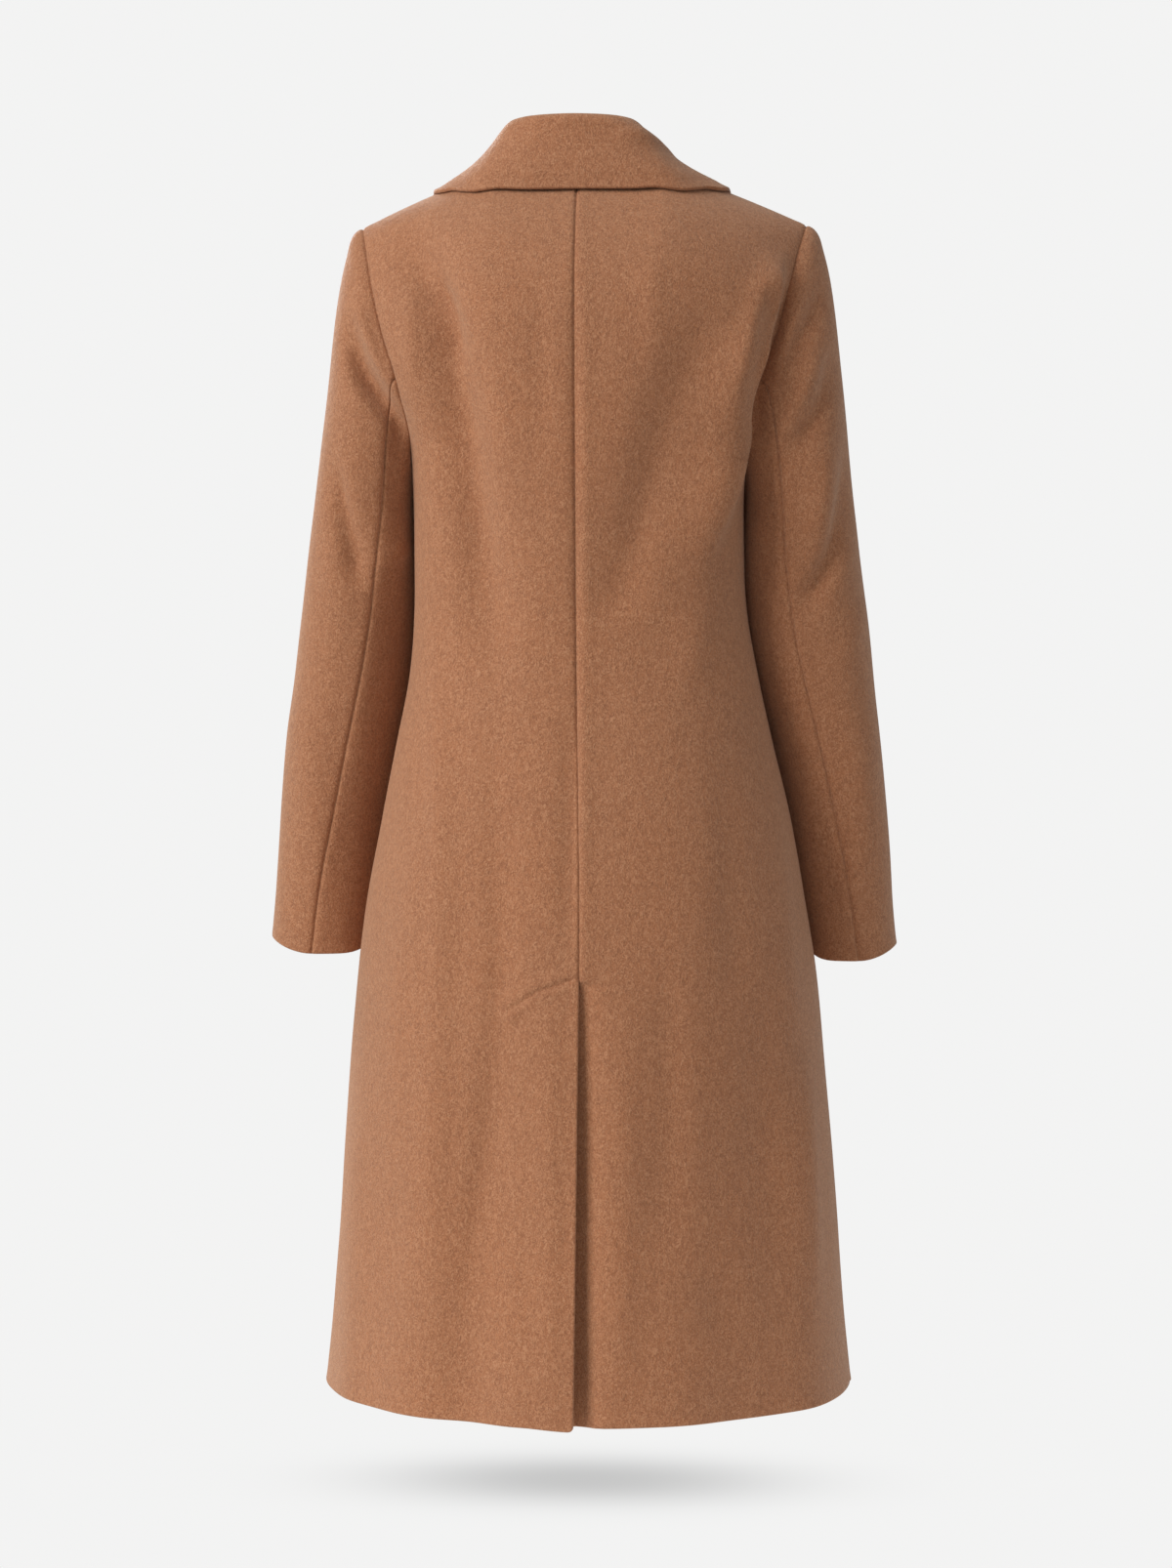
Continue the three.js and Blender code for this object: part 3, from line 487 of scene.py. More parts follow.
def to_armhole(place, normal, seam, side):
    """Turns the normals next to the armhole to the seam's own, so both walls meet there."""
    away = np.linalg.norm(place - seam, axis=-1)
    return unit(lerp(normal, armhole_normal(place, side), bell(away, SEAM_OVAL["reach"])[..., None]))


def upper_rows():
    """Rows from the shoulder seam to above the underarm, as fractions of the coarse rows."""
    depth = TIP_Z - UNDERARM_Z
    rows = row_at(TIP_Z - steps(depth + 8.0)[:-1].clip(0, depth))
    rows = np.unique(rows.round(4))
    return rows[rows < UPPER_ROWS - 0.01]


def lower_heights(dense=()):
    """Heights from the underarm to the hem."""
    return UNDERARM_Z - steps(UNDERARM_Z - HEM_Z, dense)


def upper_spread(side, face, rows, inner, share):
    """Where a panel's outer border is, and its points between there and the inner border."""
    edge = armhole_x(rows, side, face)
    height = armhole_z(rows)
    half = np.maximum(half_width(side, height), edge)
    return edge, plan_spread(inner, edge, half, square(height, face), share)


def joined(upper, lower, side):
    """The places and normals of a panel, from those above the underarm and those below it."""
    place, normal = upper
    normal = to_armhole(place, normal, place[:, -1:], side)
    return np.concatenate([place, lower[0]]), np.concatenate([normal, lower[1]])


def back_grid(side, cols, heights, low_in, layer):
    rows = upper_rows()[:, None]
    share = cols[None, :]
    col = share * PANEL_COLS
    neck = NECK_X * np.sin(np.pi / 2 * np.minimum(col / NECK_COLS, 1))
    past = np.maximum(col - NECK_COLS, 0) / (PANEL_COLS - NECK_COLS)
    top_x = neck + (TIP_X - NECK_X) * past
    edge, spread = upper_spread(side, 1, rows, 0.0, share)
    x = lerp(top_x * edge / TIP_X, spread, drop(rows))
    neckline = back_neckline(np.minimum(top_x, NECK_X))
    top = np.where(top_x < NECK_X, neckline, shoulder_z(top_x))
    upper = body_point(side * x, lerp(top, UNDERARM_Z, drop(rows)), 1)
    z = heights[:, None]
    half = half_width(side, z)
    x = plan_spread(low_in(z), half, half, square(z, 1), share)
    return joined(upper, body_point(side * x, z, 1, layer(x, z)), side)


def front_layer(x, z, side):
    """How far a front stands off the smooth surface. x is measured towards its own side."""
    from_edge = x - read(FRONT_EDGE, z, "x")
    start = -150.0 if side > 0 else BREAK_Z
    rolling = smooth((z - start) / 70) * smooth((-10 - z) / 40)
    lift = ROLL_LIFT * rolling * bell(from_edge, 30)
    if side < 0:
        return lift
    return lift - UNDER_LAYER * smooth((-85 - z) / 60) * (1 - smooth((x - 92) / 50))


def front_point(x, z, side, out=0.0):
    x, z = alike(x, z)
    return body_point(side * x, z, -1, front_layer(x, z, side) + out)


def front_rows(side, rows, share):
    rows = np.asarray(rows, float)[:, None]
    share = np.asarray(share, float)[None, :]
    inner = read(FRONT_EDGE, lerp(0.0, UNDERARM_Z, drop(rows)), "x")
    edge, spread = upper_spread(side, -1, rows, inner, share)
    x = lerp(lerp(inner, edge, share), spread, drop(rows))
    top = shoulder_z(lerp(NECK_X, TIP_X, share))
    return front_point(x, lerp(top, UNDERARM_Z, drop(rows)), side)


def front_heights(side, heights, share):
    z = np.asarray(heights, float)[:, None]
    half = half_width(side, z)
    inner = np.where(z >= BREAK_Z, read(FRONT_EDGE, np.maximum(z, BREAK_Z), "x"), -WRAP)
    x = plan_spread(inner, half, half, square(z, -1), np.asarray(share)[None, :])
    return front_point(x, z, side)


def front_grid(side, cols, heights):
    return joined(front_rows(side, upper_rows(), cols), front_heights(side, heights, cols), side)


# ---- the vent ----
def vent_share(z):
    return np.clip((VENT_TOP_Z - z) / (VENT_TOP_Z - HEM_Z), 0.0, 1.0)


def lap_edge(z):
    return VENT["lap_hem_x"] * vent_share(z)


def lap_layer(x, z):
    return VENT["lift"] * smooth(vent_share(z) * 3) * (1 - smooth((x - 5) / 40))


def under_edge(z):
    return VENT["under_x"] * smooth((-716 - z) / 20)


def under_layer(x, z):
    first = UNDER_LAYER * smooth((VENT_TOP_Z - z) / 7)
    depth = first + (VENT["recess"] - UNDER_LAYER) * vent_share(z)
    depth = depth + VENT["sink"] * vent_share(z) ** 0.7 * bell(x + 2, 9)
    return -depth * smooth((VENT["recess_from"] - x) / VENT["recess_from"])


# ---- sleeves ----
RING = 20
HIND_SEAM = 6
FORE_SEAM = 13
OVAL = 2.3
CAP_Z = -300.0


def ring_step(k):
    k = np.mod(np.asarray(k, float), RING)
    back = k <= RING / 2
    return np.where(back, 1.0, -1.0), np.where(back, k, RING - k)


def sleeve_ring(side, z, k):
    face, step = ring_step(k)
    z = np.asarray(z, float)
    seam = read(SLEEVE, z, "seam_" + SIDES[side])
    hind = np.where(
        step <= HIND_SEAM,
        seam * step / HIND_SEAM,
        lerp(seam, 180.0, (step - HIND_SEAM) / (RING / 2 - HIND_SEAM)),
    )
    angle = np.radians(np.where(face < 0, 180.0 * step / (RING / 2), hind))
    out = read(SLEEVE, z, "out_" + SIDES[side])
    inner = read(SLEEVE, z, "in_" + SIDES[side])
    x = (out + inner) / 2 + (out - inner) / 2 * power(np.cos(angle), 2 / OVAL)
    reach = read(SLEEVE, z, "depth") * power(np.maximum(np.sin(angle), 0), 2 / OVAL)
    low = smooth((CUFF["from"] - z) / (CUFF["from"] - CUFF["to"]))
    turn_up = CUFF["rise"] * np.maximum(np.cos(angle), 0) ** 2 - CUFF["drop"][side]
    turn_up = turn_up + CUFF["corner"] * np.maximum(-np.cos(angle), 0) ** 5
    return point(side * x, read(SLEEVE, z, "mid") + face * reach, z + low * turn_up)


def armhole_start(side, k):
    face, row = ring_step(k)
    hind, _ = body_point(side * armhole_x(row, side, 1), armhole_z(row), 1)
    fore, _ = body_point(side * armhole_x(row, side, -1), armhole_z(row), -1)
    return np.where((face > 0)[..., None], hind, fore)


def cap_point(side, k, t):
    """The cap leaves the armhole square to its seam, then turns down into the arm."""
    k, t = alike(k, t)
    start = armhole_start(side, k)
    end = sleeve_ring(side, CAP_Z, k)
    length = np.linalg.norm(start - end, axis=-1, keepdims=True)
    outward = np.array((side * 0.975, 0.0, -0.22))
    upward = unit(end - sleeve_ring(side, CAP_Z - 20, k))
    topness = ((1 + np.cos(2 * np.pi * k / RING)) / 2)[..., None]
    first = start + outward * length * 0.1 * smooth(topness * 4)
    second = end + upward * length * lerp(0.34, 0.52, topness)
    t = t[..., None]
    rest = 1 - t
    return start * rest ** 3 + 3 * first * t * rest ** 2 + 3 * second * t ** 2 * rest + end * t ** 3


CAP_LENGTH = 185.0  # about the length of the cap along the back of the arm


def sleeve_surface(side, k, along):
    """along runs from 0 to 1 over the cap, then by height below it."""
    cap = along <= 1
    t = np.where(cap, along, 1.0)[:, None]
    z = np.where(cap, CAP_Z, CAP_Z - (along - 1) * CAP_LENGTH)[:, None]
    k = np.asarray(k)[None, :]
    return np.where(cap[:, None, None], cap_point(side, k, t), sleeve_ring(side, z, k))


def sleeve_grid(side, start, end):
    arm = (CAP_Z - SLEEVE["z"][-1]) / CAP_LENGTH
    along = steps(CAP_LENGTH * (1 + arm)) / CAP_LENGTH
    ring_length = 330.0
    k = start + steps((end - start) * ring_length / RING) / ring_length * RING
    place = sleeve_surface(side, k, along)
    around = sleeve_surface(side, k + 0.05, along) - sleeve_surface(side, k - 0.05, along)
    down = np.gradient(place, axis=0)
    normal = unit(np.cross(down, around) * side)
    return place, to_armhole(place, normal, place[:1], side)


# ---- lapels and collar ----
ROLL_STEPS = (-90, -45, 0, 45, 90)
FLAT_STEPS = 6
FLAT_SHARES = np.arange(1, FLAT_STEPS + 1) / FLAT_STEPS
GORGE_ROW = 3
BREAK_ROW = UPPER_ROWS + 2
LAPEL_TIP = np.array((148.0, -111.0))
LAPEL_BELLY = np.array((48.5, -234.5))
COLLAR_TIP = np.array((131.0, -63.0))
NOTCH_SHARE = 0.6
NOTCH_STEPS = 4
REST = CLOTH + 1.8
OVER_REST = REST + 1.8


def front_edge(side, row):
    """The inner edge of a front at one of the part's own rows: its place and normal."""
    if row <= UPPER_ROWS:
        place, normal = front_rows(side, [row], [0.0])
    else:
        heights = (UNDERARM_Z, -292.0, BREAK_Z)
        z = np.interp(row, range(UPPER_ROWS, UPPER_ROWS + len(heights)), heights)
        place, normal = front_heights(side, [z], [0.0])
    return place[0, 0], normal[0, 0]


def roll_start(place, normal, along, side, radius):
    """The fold itself, from the edge of the front round to the leaf that lies on it."""
    inward = unit(np.cross(along, normal) * -side)
    points = []
    for angle in np.radians(ROLL_STEPS):
        away = radius * math.sin(angle) + radius - CLOTH
        points.append(place + normal * away - inward * radius * math.cos(angle))
    return points


def flat_point(place, side, radius, target, share):
    start_x = side * (place[0] - lean_at(place[0], place[2]))
    x = lerp(start_x, target[0], share)
    z = lerp(place[2], target[1], share)
    return front_point(x, z, side, lerp(REST, 2 * radius, (1 - share) ** 2))[0]


def lapel_outline(share):
    rest = 1 - share
    end = np.array((-WRAP + 4, BREAK_Z + 1))
    return rest ** 2 * LAPEL_TIP + 2 * share * rest * LAPEL_BELLY + share ** 2 * end


# By side: how many rows of points, the step between them and the share of the outline that shows.
LAPEL = {1: (5, 0.5, 0.56), -1: (BREAK_ROW - GORGE_ROW + 1, 1.0, 1.0)}


def lapel_control(side):
    count, gap, reach = LAPEL[side]
    edges = [front_edge(side, GORGE_ROW + gap * i) for i in range(count)]
    rows = []
    for i, (place, normal) in enumerate(edges):
        t = i / (count - 1)
        if side > 0:
            radius = lerp(ROLL_OUT, 4.5, t)
        else:
            radius = lerp(ROLL_OUT, CLOTH + 0.3, float(smooth(t * 1.6 - 0.6)))
        along = edges[min(i + 1, count - 1)][0] - edges[max(i - 1, 0)][0]
        target = lapel_outline(reach * t)
        flat = [flat_point(place, side, radius, target, share) for share in FLAT_SHARES]
        rows.append(roll_start(place, normal, along, side, radius) + flat)
    return np.array(rows)


def collar_end(side):
    place, normal = front_edge(side, GORGE_ROW)
    along = front_edge(side, GORGE_ROW + 1)[0] - place
    points = roll_start(place, normal, along, side, ROLL_OUT)
    start = np.array((side * place[0], place[2]))
    notch = lerp(start, LAPEL_TIP, NOTCH_SHARE)
    for j in range(1, NOTCH_STEPS + 1):
        points.append(flat_point(place, side, ROLL_OUT, LAPEL_TIP, NOTCH_SHARE * j / NOTCH_STEPS))
    for j in range(1, FLAT_STEPS - NOTCH_STEPS + 1):
        x, z = lerp(notch, COLLAR_TIP, j / (FLAT_STEPS - NOTCH_STEPS))
        points.append(front_point(x, z, side, OVER_REST)[0])
    return points


def resting_point(x, y):
    face = 1 if y >= 0 else -1
    place, normal = body_point(x, height_over(np.array(x), np.array(y)), face)
    return place + normal * OVER_REST


# How far the collar's leaf is in or out, and down, next to the roll.
STAND = (4.5, 7.0)
FALL = (5.0, 5.0)


def collar_section(place, normal, side, at):
    roll = np.array([read(COLLAR, at, name) for name in ("roll_x", "roll_y", "roll_z")])
    roll[0] *= side
    outward = unit(roll * (1, 1, 0))
    roll[0] += COLLAR_SWAY * smooth((0.95 - at) / 0.4)
    base = place - normal * CLOTH
    stand_top = roll - outward * STAND[0] - (0, 0, STAND[1])
    fall_top = roll + outward * FALL[0] - (0, 0, FALL[1])
    hem = resting_point(side * float(read(COLLAR, at, "edge_x")), float(read(COLLAR, at, "edge_y")))
    middle = lerp(fall_top, hem, 0.5) - outward
    middle[2] = max(middle[2], resting_point(middle[0], middle[1])[2] + 2)
    flat = [bend(fall_top, middle, hem, share) for share in FLAT_SHARES]
    return [base, lerp(base, stand_top, 0.55), stand_top, roll, fall_top] + flat


def bend(a, b, c, share):
    """A point on a soft curve through a, b and c."""
    first, second = np.linalg.norm(b - a), np.linalg.norm(c - b)
    knot = first / (first + second)
    control = (b - a * (1 - knot) ** 2 - c * knot ** 2) / (2 * knot * (1 - knot))
    return a * (1 - share) ** 2 + 2 * control * share * (1 - share) + c * share ** 2


def collar_control():
    halves = []
    for side in (1, -1):
        stations = []
        for share in np.linspace(0, 1, NECK_COLS + 1):
            x = NECK_X * np.sin(np.pi / 2 * share)
            edge = body_point(side * x, back_neckline(x), 1)
            stations.append(collar_section(*edge, side, SIDE_NECK_AT * share))
        for row in (0.5, 1.0, 1.5, 2.0, 2.5):
            at = lerp(SIDE_NECK_AT, 1.0, row / GORGE_ROW)
            stations.append(collar_section(*front_edge(side, row), side, at))
        stations.append(collar_end(side))
        halves.append(stations)
    return np.array(halves[0][::-1] + halves[1][1:])


def refine(control, at, axis):
    """Reads a grid of points smoothly between its rows or columns, at fractions of a step."""
    control = np.moveaxis(control, axis, 0)
    slopes = np.empty_like(control)
    chords = np.diff(control, axis=0)
    spans = np.maximum(np.linalg.norm(chords, axis=-1, keepdims=True), 1e-6)
    chords /= spans
    slopes[0], slopes[-1] = chords[0], chords[-1]
    before, after = spans[:-1], spans[1:]
    slopes[1:-1] = (chords[:-1] * after + chords[1:] * before) / (before + after)
    i = np.clip(np.floor(at).astype(int), 0, len(control) - 2)
    t = (at - i).reshape((-1,) + (1,) * (control.ndim - 1))
    found = cubic(control[i], control[i + 1], slopes[i], slopes[i + 1], spans[i], t)
    return np.moveaxis(found, 0, axis)


def knots_for(control, axis, step):
    """Fractions of a step along a grid that lie about evenly, and close at both ends."""
    gaps = np.linalg.norm(np.diff(control, axis=axis), axis=-1).mean(axis=1 - axis)
    length = np.concatenate([[0.0], np.cumsum(gaps)])
    even = np.linspace(0, length[-1], max(int(length[-1] / step), 12))
    near = np.array(EDGE_STEPS)
    inner = even[(even > 7) & (even < length[-1] - 7)]
    wanted = np.unique(np.concatenate([near, inner, length[-1] - near]))
    return np.interp(wanted, length, np.arange(len(length)))


def leaf_grid(control, side):
    fine = refine(control, knots_for(control, 0, STEP), 0)
    fine = refine(fine, knots_for(control, 1, STEP / 2), 1)
    down = np.gradient(fine, axis=0)
    across = np.gradient(fine, axis=1)
    return fine, unit(np.cross(across, down) * -side)


# ---- creases, unevenness and the shell of cloth ----
def along_line(line, place):
    """How far places lie to the right of a smooth line near some points, given as x and z by
    turns, and how far along it, from 0 to 1."""
    x, z = place[..., 0], place[..., 2]
    line = np.array(line, float).reshape(-1, 2)
    share = np.linspace(0, 1, 25)
    knots = np.linspace(0, 1, len(line))
    fine = np.stack([np.interp(share, knots, line[:, 0]), np.interp(share, knots, line[:, 1])], -1)
    for _ in range(6):
        fine[1:-1] = (fine[:-2] + 2 * fine[1:-1] + fine[2:]) / 4
    best = np.full(x.shape, 1e9)
    off = np.zeros(x.shape)
    along = np.zeros(x.shape)
    for i in range(len(fine) - 1):
        a = fine[i]
        way = fine[i + 1] - a
        length = math.hypot(*way)
        low = -1e9 if i == 0 else 0.0
        high = 1e9 if i == len(fine) - 2 else 1.0
        t = ((x - a[0]) * way[0] + (z - a[1]) * way[1]) / length ** 2
        held = np.clip(t, low, high)
        dx, dz = x - a[0] - held * way[0], z - a[1] - held * way[1]
        away = np.hypot(dx, dz)
        nearer = away < best
        best = np.where(nearer, away, best)
        off = np.where(nearer, (dx * way[1] - dz * way[0]) / length, off)
        along = np.where(nearer, (i + t) / (len(fine) - 1), along)
    return off, along


def creases(place, groups):
    """The height of the small folds at each place, from the lines of some groups."""
    total = np.zeros(place.shape[:-1])
    for group, weight in groups:
        for right, left, height, *line in CREASES[group]:
            off, along = along_line(line, place)
            wide = np.where(off > 0, right, left)
            ends = smooth((along + 0.12) / 0.4) * smooth((1.12 - along) / 0.4)
            total += weight * height * ends * bell(off, wide)
    return total


# How far back a group of hollows starts, and how far behind that it is whole.
HOLLOW_Y = {"armholes": (0.0, 40.0), "inner_arms": (-42.0, 26.0)}


def sink(place, group):
    """Moves the cloth at the back forward into a group's hollows, alike for every piece."""
    from_y, over = HOLLOW_Y[group]
    place[..., 1] += creases(place, [(group, 1.0)]) * smooth((place[..., 1] - from_y) / over)
    return place


WAVES = np.random.default_rng(7).normal(size=(14, 5))


def unevenness(place):
    """The slight lumps that thick cloth has everywhere."""
    total = np.zeros(place.shape[:-1])
    for wave in WAVES:
        way = unit(wave[:3]) * (1, 1, 0.55)
        length = 55.0 + 40.0 * abs(wave[3])
        total += np.sin(place @ way * 2 * np.pi / length + 3 * wave[4])
    return 0.11 * total


def arc(place, axis):
    gaps = np.linalg.norm(np.diff(place, axis=axis), axis=-1)
    start = np.zeros([1 if a == axis else n for a, n in enumerate(place.shape[:2])])
    return np.concatenate([start, np.cumsum(gaps, axis=axis)], axis=axis)


def border_distances(place):
    down, across = arc(place, 0), arc(place, 1)
    return {
        "top": down,
        "foot": down[-1:] - down,
        "start": across,
        "end": across[:, -1:] - across,
    }


GROOVE = {"deep": 1.6, "wide": 1.25, "puff": 0.45, "puff_at": 6.0, "puff_wide": 4.5}


def seam_profile(away):
    puff = GROOVE["puff"] * bell(away - GROOVE["puff_at"], GROOVE["puff_wide"])
    return puff - GROOVE["deep"] * bell(away, GROOVE["wide"])


def cloth(name, place, normal, sewn, free, swell):
    """A closed shell of cloth. sewn and free give how much of each border is a seam or a
    turned edge, as a number or one number for each of its points."""
    away = border_distances(place)

    def weight(value, border):
        value = np.atleast_1d(value)
        return value[None, :] if border in ("top", "foot") else value[:, None]

    lift = np.zeros(place.shape[:-1])
    for border, share in sewn.items():
        lift = lift + weight(share, border) * seam_profile(away[border])
    rim = np.zeros(place.shape[:-1])
    half = CLOTH / 2
    for border, share in free.items():
        near = np.clip(away[border], 0, half)
        turn = half - np.sqrt(np.maximum(half ** 2 - (half - near) ** 2, 0.0))
        rim = np.maximum(rim, weight(share, border) * turn)
        lift = lift + weight(share, border) * swell * bell(away[border], 7)
    rim = np.minimum(rim, half * 0.94)
    outer = place + normal * (lift - rim)[..., None]
    inner = place - normal * (CLOTH - rim)[..., None]
    return closed_mesh(name, outer, inner)


def closed_mesh(name, outer, inner):
    rows, cols = outer.shape[:2]
    points = np.concatenate([outer.reshape(-1, 3), inner.reshape(-1, 3)])
    index = np.arange(rows * cols).reshape(rows, cols)
    front = quads(index)
    back = quads(index + rows * cols)[:, ::-1]
    border = np.concatenate([index[:-1, 0], index[-1, :-1], index[:0:-1, -1], index[0, :0:-1]])
    following = np.roll(border, -1)
    rim = np.stack([following, border, border + rows * cols, following + rows * cols], -1)
    faces = np.concatenate([front, back, rim])
    a, b, c = (points[faces[:, i]] for i in range(3))
    if np.einsum("ij,ij->i", a, np.cross(b, c)).sum() < 0:
        faces = faces[:, ::-1]
    return make_mesh(name, points, faces.tolist())


def quads(index):
    return np.stack([index[:-1, :-1], index[1:, :-1], index[1:, 1:], index[:-1, 1:]], -1).reshape(-1, 4)


def make_mesh(name, points, faces):
    mesh = bpy.data.meshes.new(name)
    mesh.from_pydata((points * MM).tolist(), [], faces, shade_flat=False)
    return add_object(name, mesh)


def tube_faces(rings, sides):
    """The faces of a closed tube whose rings of points follow one another."""
    index = np.arange(rings * sides).reshape(rings, sides)
    wall = quads(np.concatenate([index, index[:, :1]], axis=1))[:, ::-1]
    return wall.tolist() + [index[0, ::-1].tolist(), index[-1].tolist()]


# ---- materials ----
class Nodes:
    """A short way to write the nodes of a material or of the world."""

    def __init__(self, owner):
        owner.use_nodes = True
        self.owner = owner
        self.tree = owner.node_tree

    def put(self, node, inputs):
        for key, value in inputs.items():
            if isinstance(value, bpy.types.NodeSocket):
                self.tree.links.new(value, node.inputs[key])
            elif value is not None:
                node.inputs[key].default_value = value

    def add(self, kind, output, inputs, **settings):
        """Adds a node and gives one of its outputs."""
        node = self.tree.nodes.new(kind)
        for key, value in settings.items():
            setattr(node, key, value)
        self.put(node, inputs)
        return node.outputs[output]

    def place(self):
        return self.add("ShaderNodeTexCoord", "Object", {})

    def stretch(self, where, upward):
        return self.add("ShaderNodeMapping", "Vector", {"Vector": where, "Scale": (1.0, 1.0, upward)})

    def noise(self, where, scale, detail=2.0, rough=0.5, distort=0.0):
        return self.add("ShaderNodeTexNoise", "Fac", {
            "Vector": where, "Scale": scale, "Detail": detail, "Roughness": rough, "Distortion": distort})

    def spread(self, value, low, high, to_low=0.0, to_high=1.0):
        return self.add("ShaderNodeMapRange", "Result", {
            "Value": value, "From Min": low, "From Max": high, "To Min": to_low, "To Max": to_high})

    def mix(self, factor, first, second):
        return self.add("ShaderNodeMix", 2, {0: factor, 6: first, 7: second}, data_type="RGBA")

    def bump(self, height, strength, distance, normal=None):
        return self.add("ShaderNodeBump", "Normal", {
            "Height": height, "Strength": strength, "Distance": distance, "Normal": normal})


WOOL = {
    "base": (0.398, 0.143, 0.053, 1.0),
    "warm": (0.420, 0.146, 0.051, 1.0),
    "pale": (0.535, 0.252, 0.124, 1.0),
    "deep": (0.260, 0.092, 0.037, 1.0),
    "sheen": (1.0, 0.78, 0.58, 1.0),
}
HORN = ((0.022, 0.011, 0.007, 1.0), (0.115, 0.058, 0.030, 1.0))
THREAD = ((0.150, 0.070, 0.036, 1.0), (0.290, 0.150, 0.085, 1.0))


def material(name, shade):
    """A material whose main shader gets the inputs that shade gives for its nodes."""
    n = Nodes(bpy.data.materials.new(name))
    n.put(n.tree.nodes["Principled BSDF"], shade(n))
    return n.owner


def wool(n):
    where = n.place()
    brushed = n.stretch(where, 0.7)
    cloud = n.noise(where, 11.0)
    patch = n.noise(brushed, 120.0, distort=0.5)
    curl = n.noise(brushed, 270.0, distort=1.6)
    fleck = n.noise(brushed, 520.0, distort=1.8)
    fibre = n.noise(brushed, 1300.0, rough=0.6, distort=2.4)
    colour = n.mix(n.spread(cloud, 0.36, 0.66), WOOL["base"], WOOL["warm"])
    # from which level of each noise to which, how much of a tone it brings, and the tone
    for grain, low, high, most, tone in (
        (patch, 0.48, 0.70, 0.20, "deep"),
        (curl, 0.50, 0.70, 0.50, "pale"),
        (curl, 0.50, 0.30, 0.50, "deep"),
        (fleck, 0.50, 0.64, 0.75, "pale"),
        (fleck, 0.50, 0.36, 0.75, "deep"),
        (fibre, 0.52, 0.68, 0.55, "pale"),
        (fibre, 0.48, 0.32, 0.45, "deep"),
    ):
        colour = n.mix(n.spread(grain, low, high, 0.0, most), colour, WOOL[tone])
    nap = n.bump(patch, 0.35, 0.0016)
    nap = n.bump(curl, 0.45, 0.0014, nap)
    nap = n.bump(fleck, 0.60, 0.0012, nap)
    nap = n.bump(fibre, 0.60, 0.0006, nap)
    rough = n.spread(fleck, 0.3, 0.7, 0.72, 0.60)
    return {"Base Color": colour, "Normal": nap, "Roughness": rough, "Specular IOR Level": 0.36,
            "Sheen Weight": 0.38, "Sheen Roughness": 0.5, "Sheen Tint": WOOL["sheen"]}


def horn(n):
    where = n.place()
    streak = n.noise(n.stretch(where, 3.5), 90.0, 4.0, 0.6, 1.4)
    speck = n.noise(where, 800.0)
    colour = n.mix(n.spread(streak, 0.35, 0.68), *HORN)
    rough = n.spread(speck, 0.3, 0.7, 0.26, 0.42)
    return {"Base Color": colour, "Roughness": rough, "Normal": n.bump(speck, 0.12, 0.0002),
            "Coat Weight": 0.25, "Coat Roughness": 0.2}


def thread(n):
    twist = n.noise(n.place(), 2200.0, rough=0.6)
    colour = n.mix(n.spread(twist, 0.35, 0.65), *THREAD)
    return {"Base Color": colour, "Normal": n.bump(twist, 0.5, 0.0002), "Roughness": 0.7}


WOOL_LOOK = material("wool", wool)
HORN_LOOK = material("horn", horn)
THREAD_LOOK = material("thread", thread)


def declare(piece, look, node):
    piece.data.materials.append(look)
    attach(piece, "root")
    if node:
        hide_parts(node)
    return piece


# ---- the coat's pieces ----
DART = {"line": (2.0, -709.0, 35.0, -720.5, 61.0, -738.0), "deep": 1.5, "wide": 1.5}
FLAP = {"from": -1040.0, "over": 40.0, "reach": 46.0, "drop": 2.2, "corner": 4.5}
SIDE_SEWN = 0.6  # how much of a seam's groove the armholes and side seams have
HEAD = {"height": 1.6, "at": 13, "wide": 10}  # the roll of cloth next to the armhole


def dart_line(place):
    """The slanted stitch line that holds the vent's facing, with the cloth full below it."""
    off, along = along_line(DART["line"], place)
    inside = smooth((along + 0.02) / 0.06) * smooth((1.02 - along) / 0.08)
    below = 0.8 * bell(np.abs(off) - 5.5, 4.0)
    return inside * (below - DART["deep"] * bell(off, DART["wide"]))


def flap_corner(place):
    """The flap of the vent hangs a little lower than the rest of the hem, with a soft corner."""
    low = smooth((FLAP["from"] - place[..., 2]) / FLAP["over"])
    near = smooth((FLAP["reach"] - place[..., 0]) / FLAP["reach"])
    place[..., 2] -= FLAP["drop"] * low * near
    u = FLAP["corner"] - (place[..., 0] - place[:, :1, 0])
    v = FLAP["corner"] - (place[..., 2] - place[-1:, :, 2])
    inward = np.where((u > 0) & (v > 0), 1 - np.maximum(u, v) / np.maximum(np.hypot(u, v), 1e-6), 0.0)
    place[..., 0] += u * inward
    place[..., 2] += v * inward
    return place


def hem_wave(place):
    """The hem isn't quite level, and swings in and out a little between its folds."""
    low = smooth((-930.0 - place[..., 2]) / 150.0)
    turn = np.arctan2(place[..., 1], place[..., 0])
    return 1.5 * low * (np.sin(5 * turn + 0.7) + 0.6 * np.sin(9 * turn + 2.1))


def body_piece(side, face, grid, sewn, opened):
    """A panel of the trunk. opened says how much of its inner border is a free edge, by row."""
    place, normal = grid
    group = face_name(face)
    away = border_distances(place)
    rest = smooth(away["top"] / 30.0) * smooth(away["end"] / 14.0)
    lift = (creases(place, [(group, 1.0)]) + unevenness(place) + hem_wave(place)) * rest
    place = place + unit(normal * (1, 1, 0)) * lift[..., None]
    if face > 0:
        place = sink(place, "armholes")
    if face > 0 and side > 0:
        place = flap_corner(place + normal * dart_line(place)[..., None])
    free = {"foot": 1.0, "start": opened}
    return cloth(f"coat_{group}_{SIDES[side]}", place, normal, sewn, free, 0.5)


def open_share(grid, heights, top):
    """Turns from 0 to 1 over the few rows of a panel below a height."""
    down = np.concatenate([np.zeros(len(grid[0]) - len(heights)), top - heights])
    return smooth(down / 6.0)


